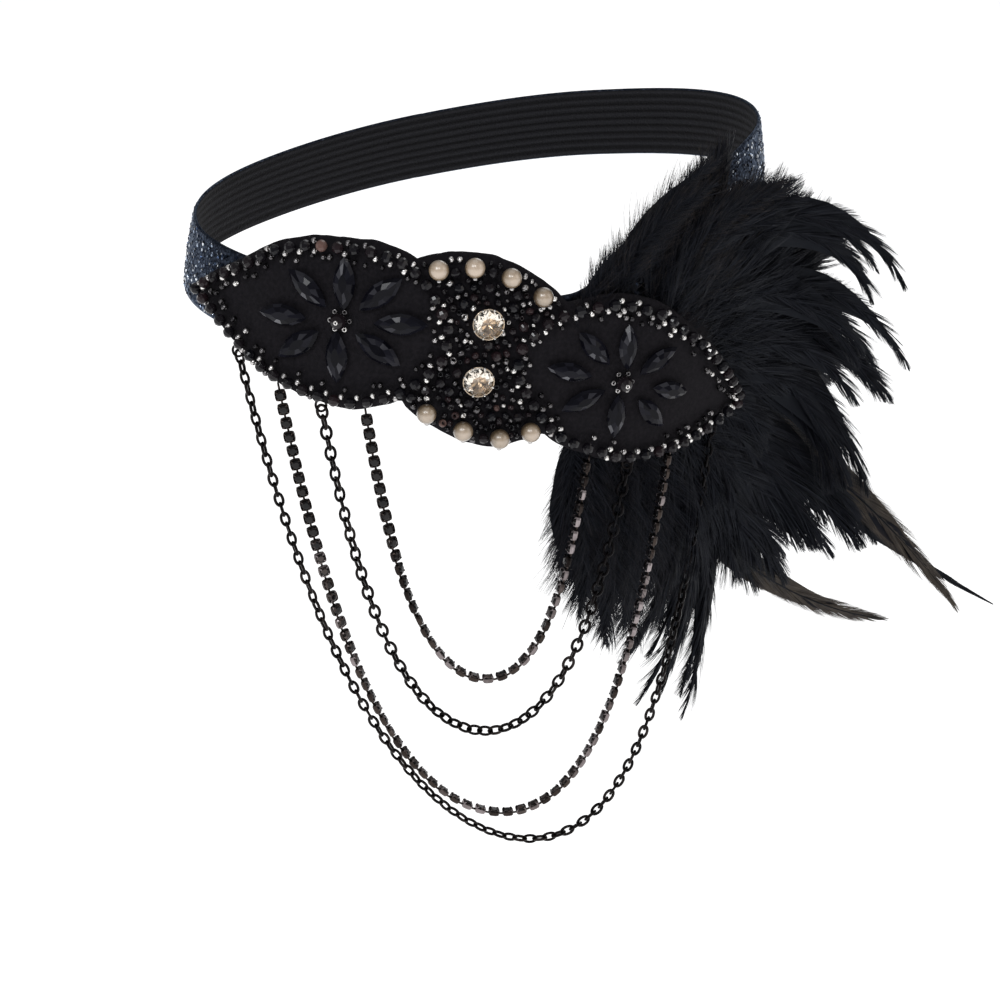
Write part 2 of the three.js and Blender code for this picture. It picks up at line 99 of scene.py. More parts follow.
class Profile:
    """A smooth curve through one column of a table, flat at its peaks."""

    def __init__(self, x: Sequence[float], y: Sequence[float]) -> None:
        """Keep the column and work out the slope at each row.

        Args:
            x: The table's key column, rising.
            y: The column that the curve passes through.
        """
        self.x = np.asarray(x, float)
        self.y = np.asarray(y, float)
        step = np.diff(self.y) / np.diff(self.x)
        product = step[:-1] * step[1:]
        total = np.where(product > 0, step[:-1] + step[1:], 1.0)
        inner = np.where(product > 0, 2.0 * product / total, 0.0)
        self.slope = np.concatenate([step[:1], inner, step[-1:]])

    def at(self, x: Array) -> Array:
        """Read the curve.

        Args:
            x: The keys to read it at.

        Returns:
            The curve's value at each key.
        """
        x = np.asarray(x, float)
        i = np.clip(np.searchsorted(self.x, x) - 1, 0, len(self.x) - 2)
        span = self.x[i + 1] - self.x[i]
        t = np.clip((x - self.x[i]) / span, 0.0, 1.0)
        near = self.y[i] * (1 + 2 * t) * (1 - t) ** 2 + self.slope[i] * span * t * (1 - t) ** 2
        far = self.y[i + 1] * t * t * (3 - 2 * t) + self.slope[i + 1] * span * t * t * (t - 1)
        return near + far


@dataclass(frozen=True)
class HeadChart:
    """The head that the loop fits, charted by girth and height.

    Girth is the distance round the head from the +X side, positive towards the back.
    """

    half_width: float = 74.0
    half_length: float = 93.0
    dome: float = 130.0
    widest_height: float = -22.0
    lean: float = 0.12
    steps: int = 720
    least_depth: float = 0.2

    def arc(self) -> tuple[Array, Array]:
        """Step round half the head.

        Returns:
            The angles of half a turn, and the girth at each.
        """
        middle = (np.arange(self.steps) + 0.5) * math.pi / self.steps
        across = self.half_width * np.sin(middle)
        along = self.half_length * np.cos(middle)
        girth = np.cumsum(np.hypot(across, along)) * math.pi / self.steps
        return np.arange(self.steps + 1) * math.pi / self.steps, np.concatenate([[0.0], girth])

    def girth_round(self) -> float:
        """Give the whole girth."""
        return 2.0 * float(self.arc()[1][-1])

    def axes(self, girth: Array, height: Array) -> tuple[Array, ...]:
        """Find places on the head and the directions there.

        Args:
            girth: The girths.
            height: The heights.

        Returns:
            The points, and the outward, upward and backward directions.
        """
        girth, height = np.broadcast_arrays(np.asarray(girth, float), np.asarray(height, float))
        angles, arc = self.arc()
        angle = np.sign(girth) * np.interp(np.abs(girth), arc, angles)
        level = height - self.widest_height
        size = np.sqrt(1.0 - (level / self.dome) ** 2)
        x = self.half_width * size * np.cos(angle)
        y = self.half_length * size * np.sin(angle)
        tilt = level / self.dome**2 - self.lean * y / self.half_length**2
        out = unit(np.stack([x / self.half_width**2, y / self.half_length**2, tilt], -1))
        up = unit(UP - out * out[..., 2:])
        point = np.stack([x, y + self.lean * level, height], -1)
        return point, out, up, np.cross(up, out)

    def point(self, girth: Array, height: Array, offset: Array) -> Array:
        """Find points at an offset outwards from the head."""
        point, out, _, _ = self.axes(girth, height)
        return point + out * np.asarray(offset, float)[..., None]

    def clear(self, points: Array, offset: float) -> Array:
        """Move points that are inside the head out to an offset from it.

        Args:
            points: The points, one in each row.
            offset: The least distance from the head.

        Returns:
            The points, all of them clear of the head.
        """
        level = points[:, 2] - self.widest_height
        body = np.stack([points[:, 0], points[:, 1] - self.lean * level, level], -1)
        depth = np.linalg.norm(body / [self.half_width, self.half_length, self.dome], axis=-1)
        grown = np.maximum(1.0, (1.0 + offset / self.half_width) / np.maximum(depth, self.least_depth))
        body[:, :2] *= grown[:, None]
        return np.stack([body[:, 0], body[:, 1] + self.lean * level, points[:, 2]], -1)


HEAD = HeadChart()


@dataclass(frozen=True)
class Lobe:
    """One lobe of the applique: its sections from end to end."""

    girth: Floats
    top: Floats
    bottom: Floats
    steepest: float = 2.0
    steps: int = 120

    def high(self, girth: Array) -> Array:
        """Read the upper edge."""
        return Profile(self.girth, self.top).at(girth)

    def low(self, girth: Array) -> Array:
        """Read the lower edge."""
        return Profile(self.girth, self.bottom).at(girth)

    def holds(self, girth: Array, height: Array, inset: float) -> Array:
        """Tell which places are inside the lobe by more than an inset.

        Args:
            girth: The girths.
            height: The heights.
            inset: The distance from the edge, negative for outside it.

        Returns:
            A truth value for each place.
        """
        edge = self.edge_line(0.0)
        place = np.stack([girth, height], -1)
        gap = np.min(np.linalg.norm(place[:, None] - edge[None], axis=-1), axis=1)
        within = (girth > self.girth[0]) & (girth < self.girth[-1])
        within &= (height > self.low(girth)) & (height < self.high(girth))
        return np.where(within, gap, -gap) > inset

    def run(self, upper: bool, inset: float) -> Array:
        """Follow one edge, moved inwards.

        Args:
            upper: True for the upper edge, False for the lower.
            inset: The distance inwards.

        Returns:
            Girth and height at each step.
        """
        side = -1.0 if upper else 1.0
        edge = self.high if upper else self.low
        share = 0.5 - 0.5 * np.cos(np.linspace(0.0, math.pi, self.steps + 1))
        girth = self.girth[0] + inset + (self.girth[-1] - self.girth[0] - 2 * inset) * share
        slope = edge(girth + 0.5) - edge(girth - 0.5)
        middle = (self.high(girth) + self.low(girth)) / 2
        moved = edge(girth) + side * inset * np.minimum(np.hypot(1.0, slope), self.steepest)
        height = side * np.minimum(side * moved, side * middle)
        height[[0, -1]] = middle[[0, -1]]
        return np.stack([girth, height], -1)

    def edge_line(self, inset: float) -> Array:
        """Follow the whole edge once round, moved inwards."""
        return np.concatenate([self.run(True, inset), self.run(False, inset)[::-1][1:-1]])


LEFT_LEAF = Lobe(
    girth=(-117, -109, -97, -84, -70, -57, -47, -40, -34, -30, -28),
    top=(-14, -9, -2.5, 4.5, 7.2, 6.8, 4.4, 0.5, -6.5, -14, -20),
    bottom=(-18.5, -21.5, -28.8, -37, -41.8, -44, -42, -39, -34, -29.5, -25),
)
MIDDLE_LOBE = Lobe(
    girth=(-46, -41, -31, -22, -13, -5, 2, 7),
    top=(-8, 2.5, 4.2, 3.3, 0, -5, -11, -22),
    bottom=(-32, -42.5, -49.5, -54, -56, -54.5, -52.5, -45),
)
RIGHT_LEAF = Lobe(
    girth=(-13, -11, -7, -1, 6, 16, 29, 43, 56, 68, 77),
    top=(-26, -22, -17.5, -13.5, -11.6, -10.4, -13.6, -23, -33, -43.5, -51.5),
    bottom=(-31, -36, -42.5, -50, -56, -60.3, -63.8, -63.4, -61.4, -58, -55.5),
)


@dataclass(frozen=True)
class FeltChart:
    """The felt's place on the head: its outline, and how far it stands off."""

    rest: float = 1.5
    thickness: float = 2.0
    lift: float = 6.0
    lift_start: float = -8.0
    lift_full: float = 40.0
    lobes: tuple[Lobe, ...] = (LEFT_LEAF, MIDDLE_LOBE, RIGHT_LEAF)
    outside: float = 1e3
    slack: float = 1e-6

    def span(self) -> Pair:
        """Give the first and last girth of the felt."""
        return self.lobes[0].girth[0], self.lobes[-1].girth[-1]

    def top(self, girth: Array) -> Array:
        """Read the felt's upper edge."""
        return np.max([self._within(lobe, girth, lobe.high(girth), -self.outside) for lobe in self.lobes], 0)

    def bottom(self, girth: Array) -> Array:
        """Read the felt's lower edge."""
        return np.min([self._within(lobe, girth, lobe.low(girth), self.outside) for lobe in self.lobes], 0)

    def _within(self, lobe: Lobe, girth: Array, edge: Array, other: float) -> Array:
        """Keep an edge where the lobe is, and put another value elsewhere.

        Args:
            lobe: The lobe.
            girth: The girths.
            edge: The height of the lobe's edge at each girth.
            other: The value for girths past the lobe's ends.

        Returns:
            The heights.
        """
        inside = (girth >= lobe.girth[0] - self.slack) & (girth <= lobe.girth[-1] + self.slack)
        return np.where(inside, edge, other)

    def back(self, girth: Array) -> Array:
        """Give the offset of the felt's back from the head."""
        return self.rest + self.lift * smoothstep(girth, self.lift_start, self.lift_full)

    def front(self, girth: Array) -> Array:
        """Give the offset of the felt's front from the head."""
        return self.back(girth) + self.thickness

    def axes(self, girth: Array, height: Array) -> tuple[Array, Array]:
        """Find places on the felt's front.

        Args:
            girth: The girths.
            height: The heights.

        Returns:
            The points, and three axes at each: backwards, up and out of the felt.
        """
        point = HEAD.point(girth, height, self.front(girth))
        after = HEAD.point(girth + 1, height, self.front(girth + 1))
        before = HEAD.point(girth - 1, height, self.front(girth - 1))
        above = HEAD.point(girth, height + 1, self.front(girth))
        below = HEAD.point(girth, height - 1, self.front(girth))
        back = unit(after - before)
        out = unit(np.cross(back, above - below))
        return point, np.stack([back, np.cross(out, back), out], -2)


FELT = FeltChart()


class Tone(Enum):
    """Where a finish takes its shade from."""

    PIECE = "tone"
    GRAIN = "grain"


class Surface(Enum):
    """The fine relief of a finish, and how much finer it is than the grain."""

    SMOOTH = 1.0
    FIBRE = 4.0
    KNIT = 1.6
    GLITTER = 2.0


FIBRE_DETAIL = 8.0


def wired(
    tree: NodeTree, kind: str, values: dict[int | str, object], operation: str = ""
) -> bpy.types.Node:
    """Add a node, and set or wire its inputs.

    Args:
        tree: The finish's nodes.
        kind: The node's type.
        values: For each input, its value or the socket that it is wired to.
        operation: What a node that reckons does.

    Returns:
        The node.
    """
    node = tree.nodes.new(kind)
    if operation:
        node.operation = operation
    for name, value in values.items():
        if isinstance(value, Socket):
            tree.links.new(value, node.inputs[name])
        else:
            node.inputs[name].default_value = value
    return node


@dataclass(frozen=True)
class Finish:
    """One procedural finish, shaded along a short ramp of colours."""

    name: str
    ramp: tuple[tuple[float, Colour], ...]
    roughness: Pair
    tone: Tone = Tone.PIECE
    surface: Surface = Surface.SMOOTH
    grain: float = 600.0
    grain_detail: float = 4.0
    grain_range: Pair = (0.3, 0.7)
    mottle: float = 0.25
    relief: float = 0.0
    metallic: float = 0.0
    specular: float = 0.5
    specular_tint: Colour = (1.0, 1.0, 1.0)
    ior: float = 1.5
    coat: float = 0.0
    coat_roughness: float = 0.05
    coat_ior: float = 1.5
    transmission: float = 0.0
    glow: float = 0.0

    def make(self) -> bpy.types.Material:
        """Build the finish's nodes, once.

        Returns:
            The material.
        """
        name = f"{self.name}_finish"
        found = bpy.data.materials.get(name)
        if found:
            return found
        material = bpy.data.materials.new(name)
        material.use_nodes = True
        tree = material.node_tree
        shader = next(n for n in tree.nodes if n.type == "BSDF_PRINCIPLED")
        plain = {
            "Metallic": self.metallic, "IOR": self.ior, "Transmission Weight": self.transmission,
            "Specular IOR Level": self.specular, "Specular Tint": (*self.specular_tint, 1.0),
            "Coat Weight": self.coat, "Coat Roughness": self.coat_roughness, "Coat IOR": self.coat_ior,
            "Emission Color": (1.0, 1.0, 1.0, 1.0), "Emission Strength": self.glow,
        }
        for socket, value in plain.items():
            shader.inputs[socket].default_value = value
        place = tree.nodes.new("ShaderNodeTexCoord").outputs["Object"]
        grain = self._noise(tree, place, self.grain, self.grain_detail)
        tree.links.new(self._colour(tree, grain), shader.inputs["Base Color"])
        spread = {
            "Value": grain,
            "From Min": self.grain_range[0], "From Max": self.grain_range[1],
            "To Min": self.roughness[0], "To Max": self.roughness[1],
        }
        rough = wired(tree, "ShaderNodeMapRange", spread)
        tree.links.new(rough.outputs["Result"], shader.inputs["Roughness"])
        normal = self._relief(tree, place, grain)
        if normal:
            tree.links.new(normal, shader.inputs["Normal"])
        return material

    @staticmethod
    def _noise(tree: NodeTree, place: Socket, scale: float, detail: float) -> Socket:
        """Add a noise and give its value."""
        values = {"Vector": place, "Scale": scale, "Detail": detail}
        return wired(tree, "ShaderNodeTexNoise", values).outputs["Fac"]

    def _colour(self, tree: NodeTree, grain: Socket) -> Socket:
        """Shade the ramp by the grain, or by the piece's tone mottled by the grain.

        Args:
            tree: The finish's nodes.
            grain: The grain's value.

        Returns:
            The colour.
        """
        ramp = tree.nodes.new("ShaderNodeValToRGB")
        stops = ramp.color_ramp.elements
        while len(stops) < len(self.ramp):
            stops.new(0.5)
        for stop, (place, colour) in zip(stops, self.ramp):
            stop.position = place
            stop.color = (*colour, 1.0)
        shade = grain
        if self.tone is Tone.PIECE:
            tone = tree.nodes.new("ShaderNodeAttribute")
            tone.attribute_name = self.tone.value
            spread = {0: grain, 1: self.mottle, 2: -0.5 * self.mottle}
            mottled = wired(tree, "ShaderNodeMath", spread, "MULTIPLY_ADD")
            parts = {0: tone.outputs["Fac"], 1: mottled.outputs["Value"]}
            shade = wired(tree, "ShaderNodeMath", parts, "ADD").outputs["Value"]
        tree.links.new(shade, ramp.inputs["Fac"])
        return ramp.outputs["Color"]

    def _relief(self, tree: NodeTree, place: Socket, grain: Socket) -> Socket | None:
        """Make the fine relief.

        Args:
            tree: The finish's nodes.
            place: The place on the piece.
            grain: The grain's value.

        Returns:
            The normal, or nothing for a plain surface.
        """
        if self.relief == 0.0:
            return None
        finer = self.grain * self.surface.value
        if self.surface is Surface.GLITTER:
            return self._flakes(tree, place, finer)
        height = grain
        if self.surface is Surface.FIBRE:
            height = self._noise(tree, place, finer, FIBRE_DETAIL)
        if self.surface is Surface.KNIT:
            cells = wired(tree, "ShaderNodeTexVoronoi", {"Vector": place, "Scale": finer})
            height = cells.outputs["Distance"]
        values = {"Strength": 1.0, "Distance": self.relief * MM, "Height": height}
        return wired(tree, "ShaderNodeBump", values).outputs["Normal"]

    def _flakes(self, tree: NodeTree, place: Socket, scale: float) -> Socket:
        """Tilt the surface by a small random amount in each flake.

        Args:
            tree: The finish's nodes.
            place: The place on the piece.
            scale: How fine the flakes are.

        Returns:
            The normal.
        """
        reckon = "ShaderNodeVectorMath"
        cells = wired(tree, "ShaderNodeTexVoronoi", {"Vector": place, "Scale": scale})
        middle = wired(tree, reckon, {0: cells.outputs["Color"], 1: (0.5, 0.5, 0.5)}, "SUBTRACT")
        size = wired(tree, reckon, {0: middle.outputs["Vector"], "Scale": self.relief}, "SCALE")
        surface = tree.nodes.new("ShaderNodeNewGeometry")
        parts = {0: surface.outputs["Normal"], 1: size.outputs["Vector"]}
        total = wired(tree, reckon, parts, "ADD")
        return wired(tree, reckon, {0: total.outputs["Vector"]}, "NORMALIZE").outputs["Vector"]


ELASTIC = Finish(
    "glitter_elastic",
    ramp=((0.3, (0.007, 0.0085, 0.013)), (0.6, (0.024, 0.028, 0.04)), (0.75, (0.08, 0.092, 0.125))),
    roughness=(0.3, 0.5), tone=Tone.GRAIN, surface=Surface.GLITTER, grain=750.0, relief=0.6,
    metallic=0.85, specular=0.12, specular_tint=(0.68, 0.77, 0.93),
)
ELASTIC_BACK = Finish(
    "elastic_back",
    ramp=((0.1, (0.003, 0.003, 0.004)), (0.9, (0.021, 0.021, 0.025))),
    roughness=(0.75, 0.95), mottle=0.6, surface=Surface.KNIT, grain=900.0, relief=0.35,
    specular=0.2,
)
GLITTER = Finish(
    "glitter_flake",
    ramp=(
        (0.0, (0.008, 0.012, 0.024)), (0.5, (0.045, 0.065, 0.115)),
        (0.75, (0.36, 0.43, 0.55)), (1.0, (0.92, 0.96, 1.0)),
    ),
    roughness=(0.12, 0.3), metallic=1.0,
)
BLACK_FELT = Finish(
    "black_felt",
    ramp=((0.3, (0.006, 0.0055, 0.007)), (0.7, (0.014, 0.0125, 0.015))),
    roughness=(0.85, 1.0), tone=Tone.GRAIN, surface=Surface.FIBRE, grain=900.0, relief=0.15,
    specular=0.1,
)
JET_BEAD = Finish(
    "jet_bead",
    ramp=(
        (0.0, (0.004, 0.004, 0.006)), (0.55, (0.009, 0.0072, 0.009)),
        (0.88, (0.02, 0.0105, 0.0125)), (1.0, (0.14, 0.082, 0.07)),
    ),
    roughness=(0.05, 0.16), mottle=0.1, specular=0.24, coat=0.03,
)
JET_STONE = Finish(
    "jet_stone",
    ramp=(
        (0.0, (0.003, 0.003, 0.005)), (0.5, (0.010, 0.010, 0.015)),
        (0.75, (0.04, 0.04, 0.047)), (1.0, (0.17, 0.17, 0.185)),
    ),
    roughness=(0.04, 0.1), mottle=0.15, grain=300.0, specular=0.1,
)
SMOKE_STONE = Finish(
    "smoke_stone",
    ramp=((0.0, (0.003, 0.003, 0.004)), (0.5, (0.018, 0.014, 0.0135)), (1.0, (0.1, 0.077, 0.07))),
    roughness=(0.04, 0.12), mottle=0.4, specular=0.26,
)
SILVER_BEAD = Finish(
    "silver_bead",
    ramp=(
        (0.0, (0.035, 0.033, 0.036)), (0.45, (0.22, 0.21, 0.215)),
        (0.8, (0.66, 0.64, 0.63)), (1.0, (0.95, 0.93, 0.9)),
    ),
    roughness=(0.2, 0.36), mottle=0.15, metallic=1.0,
)
GUNMETAL = Finish(
    "gunmetal",
    ramp=((0.0, (0.006, 0.0055, 0.006)), (0.5, (0.018, 0.015, 0.0145)), (1.0, (0.07, 0.055, 0.05))),
    roughness=(0.25, 0.42), mottle=0.5, metallic=1.0, relief=0.02,
)
# The light top of this ramp is reached mostly by the painted glints of the cups and their claws.
BROWN_METAL = Finish(
    "brown_gunmetal",
    ramp=((0.0, (0.012, 0.0095, 0.009)), (0.5, (0.055, 0.043, 0.038)), (1.0, (0.31, 0.27, 0.275))),
    roughness=(0.22, 0.4), mottle=0.5, metallic=1.0, relief=0.02,
)
PEARL = Finish(
    "pearl",
    ramp=((0.0, (0.09, 0.06, 0.033)), (0.5, (0.27, 0.195, 0.12)), (1.0, (0.54, 0.42, 0.31))),
    roughness=(0.25, 0.42), mottle=0.5, grain=500.0, relief=0.05, coat=1.0,
    coat_roughness=0.3, coat_ior=2.0,
)
CRYSTAL = Finish(
    "crystal",
    ramp=((0.0, (0.95, 0.87, 0.76)), (1.0, (0.98, 0.92, 0.84))),
    roughness=(0.0, 0.03), mottle=0.3, ior=1.58, transmission=1.0,
)
FOIL = Finish(
    "crystal_foil",
    ramp=((0.0, (0.34, 0.25, 0.175)), (0.4, (0.5, 0.38, 0.275)), (1.0, (0.86, 0.72, 0.56))),
    roughness=(0.2, 0.36), mottle=0.2, metallic=1.0,
)
# The ramp's brown top is painted light: the barb tips and the hackles' webs reach it, standing in for light
# shining through thin barbs.
FEATHER = Finish(
    "feather",
    ramp=(
        (0.0, (0.002, 0.002, 0.003)), (0.5, (0.0045, 0.0045, 0.007)),
        (0.75, (0.014, 0.011, 0.011)), (1.0, (0.12, 0.1, 0.08)),
    ),
    roughness=(0.38, 0.6), mottle=0.3, grain=220.0, specular=0.16, specular_tint=(0.72, 0.82, 1.0),
)
FLOOR = Finish(
    "pale_floor",
    ramp=((0.3, (0.86, 0.86, 0.86)), (0.7, (0.9, 0.9, 0.9))),
    roughness=(0.8, 0.9), tone=Tone.GRAIN, grain=8.0, specular=0.2, glow=0.72,
)


@dataclass(frozen=True)
class Shape:
    """A small form that is repeated: its points and its faces by their corner counts."""

    points: Array
    faces: tuple[Array, ...]


def rings_joined(rings: int, around: int, loop: bool, wrap: bool = True) -> Array:
    """List the quads between rings of points.

    Args:
        rings: How many rings there are.
        around: How many points each ring has.
        loop: True if the last ring joins the first.
        wrap: True if each ring closes on itself.

    Returns:
        Four corners for each quad.
    """
    i = np.arange(rings if loop else rings - 1)[:, None]
    j = np.arange(around if wrap else around - 1)[None, :]
    k = (i + 1) % rings
    m = (j + 1) % around
    corners = [i * around + j, i * around + m, k * around + m, k * around + j]
    return np.stack(np.broadcast_arrays(*corners), -1).reshape(-1, 4)


def tube_faces(rings: int, around: int) -> tuple[Array, ...]:
    """List the quads between rings of points, and the caps on the first and last ring."""
    ends = np.arange(around)[None]
    return rings_joined(rings, around, False), ends[:, ::-1], ends + (rings - 1) * around


def turned(profile: Sequence[Pair], sides: int, ring: bool = False) -> Shape:
    """Turn a profile of radius and height round Z.

    Args:
        profile: Radius and height of each ring, from the bottom up.
        sides: How many points each ring has.
        ring: True for a form with a hole, whose profile closes on itself.

    Returns:
        The turned form.
    """
    angle = np.arange(sides) * TURN / sides
    radius, height = np.asarray(profile, float).T
    x = radius[:, None] * np.cos(angle)
    y = radius[:, None] * np.sin(angle)
    z = np.broadcast_to(height[:, None], x.shape)
    points = np.stack([x, y, z], -1).reshape(-1, 3)
    rings = len(profile)
    faces = (rings_joined(rings, sides, True),) if ring else tube_faces(rings, sides)
    return Shape(points, faces)


def squared(shape: Shape, power: float) -> Shape:
    """Press a turned form towards a square plan.

    Args:
        shape: The form.
        power: How square the plan gets, from 2 for a circle upwards.

    Returns:
        The pressed form.
    """
    angle = np.arctan2(shape.points[:, 1], shape.points[:, 0])
    reach = np.abs(np.cos(angle)) ** power + np.abs(np.sin(angle)) ** power
    grown = reach ** (-1.0 / power)
    points = shape.points.copy()
    points[:, :2] *= grown[:, None]
    return Shape(points, shape.faces)


def parted(shape: Shape) -> tuple[Shape, Array]:
    """Give every facet of a form its own corners.

    Args:
        shape: The form.

    Returns:
        The form with no corner shared, and the number of the facet that each corner belongs to.
    """
    corners = np.concatenate([block.ravel() for block in shape.faces])
    sizes = np.concatenate([np.full(len(block), block.shape[1]) for block in shape.faces])
    starts = np.cumsum([0] + [block.size for block in shape.faces])
    faces = [np.arange(b.size).reshape(b.shape) + at for b, at in zip(shape.faces, starts)]
    return Shape(shape.points[corners], tuple(faces)), np.repeat(np.arange(len(sizes)), sizes)


def wire_oval(length: float, width: float, wire: float, around: int, sides: int) -> Shape:
    """Bend a round wire into an oval link.

    Args:
        length: The link's outer length, along X.
        width: The link's outer width, along Y.
        wire: The wire's diameter.
        around: How many steps the link has.
        sides: How many sides the wire has.

    Returns:
        The link.
    """
    theta = (np.arange(around) + 0.5) * TURN / around
    half = np.array([(length - wire) / 2.0, (width - wire) / 2.0, 1.0])
    circle = ring_of(theta, 1.0, 0.0)
    middle = circle * half
    normal = unit(circle / half)
    phi = np.arange(sides) * TURN / sides
    offset = normal[:, None] * np.cos(phi)[None, :, None] + UP * np.sin(phi)[None, :, None]
    points = middle[:, None] + offset * wire / 2.0
    faces = rings_joined(around, sides, True)
    return Shape(points.reshape(-1, 3), (faces[:, ::-1],))


class MeshBuild:
    """Points and faces collected for one piece."""

    def __init__(self) -> None:
        """Start with nothing."""
        self.points: list[Array] = []
        self.tones: list[Array] = []
        self.faces: list[tuple[Array, int, bool]] = []
        self.size = 0

    def add(
        self, points: Array, faces: Sequence[Array], tone: float | Array = 0.5,
        finish: int = 0, smooth: bool = True,
    ) -> None:
        """Add one form.

        Args:
            points: The form's points in millimetres.
            faces: The form's faces, in blocks with equal corner counts.
            tone: The shade, one for all or one for each point.
            finish: The number of the finish that the faces take.
            smooth: True for rounded shading, False for facets.
        """
        points = np.asarray(points, float).reshape(-1, 3)
        for block in faces:
            self.faces.append((np.asarray(block, int) + self.size, finish, smooth))
        self.points.append(points)
        self.tones.append(np.broadcast_to(np.asarray(tone, float), (len(points),)))
        self.size += len(points)

    def copies(
        self, shape: Shape, origin: Array, axes: Array, size: float | Array = 1.0,
        tone: float | Array = 0.5, finish: int = 0, smooth: bool = True,
    ) -> None:
        """Add many copies of a form.

        Args:
            shape: The form.
            origin: Where each copy stands.
            axes: Each copy's own X, Y and Z.
            size: The scale, one for all, one for each copy, or three for each copy.
            tone: The shade, one for all, one for each copy, or one for each copy's points.
            finish: The number of the finish that the faces take.
            smooth: True for rounded shading, False for facets.
        """
        count = len(origin)
        size = np.asarray(size, float)
        size = size[:, None] if size.ndim == 1 else size
        size = np.broadcast_to(size, (count, 3))
        local = shape.points[None] * size[:, None]
        placed = origin[:, None] + np.einsum("nmi,nij->nmj", local, axes)
        step = np.arange(count)[:, None, None] * len(shape.points)
        faces = [(block[None] + step).reshape(-1, block.shape[1]) for block in shape.faces]
        tone = np.asarray(tone, float)
        tone = tone[:, None] if tone.ndim == 1 else tone
        shades = np.broadcast_to(tone, (count, len(shape.points))).ravel()
        self.add(placed.reshape(-1, 3), faces, shades, finish, smooth)

    def piece(
        self, name: str, finishes: Sequence[Finish], slot: str, replaces: Sequence[str] = ()
    ) -> bpy.types.Object:
        """Make the object, dress it and let it ride on the frame.

        Args:
            name: The piece's name.
            finishes: The finishes, in the order of their numbers.
            slot: The record's material slot; not used.
            replaces: The solids that the piece stands for.

        Returns:
            The object.
        """
        mesh = bpy.data.meshes.new(name)
        points = np.concatenate(self.points) * MM
        corners = np.concatenate([block.ravel() for block, _, _ in self.faces])
        counts = np.concatenate([np.full(len(b), b.shape[1]) for b, _, _ in self.faces])
        mesh.vertices.add(len(points))
        mesh.loops.add(len(corners))
        mesh.polygons.add(len(counts))
        mesh.vertices.foreach_set("co", points.astype(np.float32).ravel())
        starts = np.concatenate([[0], np.cumsum(counts)[:-1]])
        mesh.polygons.foreach_set("loop_start", starts.astype(np.int32))
        mesh.loops.foreach_set("vertex_index", corners.astype(np.int32))
        number = np.concatenate([np.full(len(b), f) for b, f, _ in self.faces])
        smooth = np.concatenate([np.full(len(b), s) for b, _, s in self.faces])
        mesh.polygons.foreach_set("material_index", number.astype(np.int32))
        mesh.polygons.foreach_set("use_smooth", smooth)
        mesh.update(calc_edges=True)
        mesh.validate()
        shade = mesh.attributes.new(Tone.PIECE.value, "FLOAT", "POINT")
        shade.data.foreach_set("value", np.concatenate(self.tones).astype(np.float32))
        for finish in finishes:
            mesh.materials.append(finish.make())
        piece = bpy.data.objects.new(name, mesh)
        bpy.context.scene.collection.objects.link(piece)
        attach(piece, "root")
        if replaces:
            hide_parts(*replaces)
        log.info("%s: %d triangles", name, np.sum(counts - 2))
        return piece


FLAKE = turned([(0.5, -0.1), (0.42, 0.1)], 5)


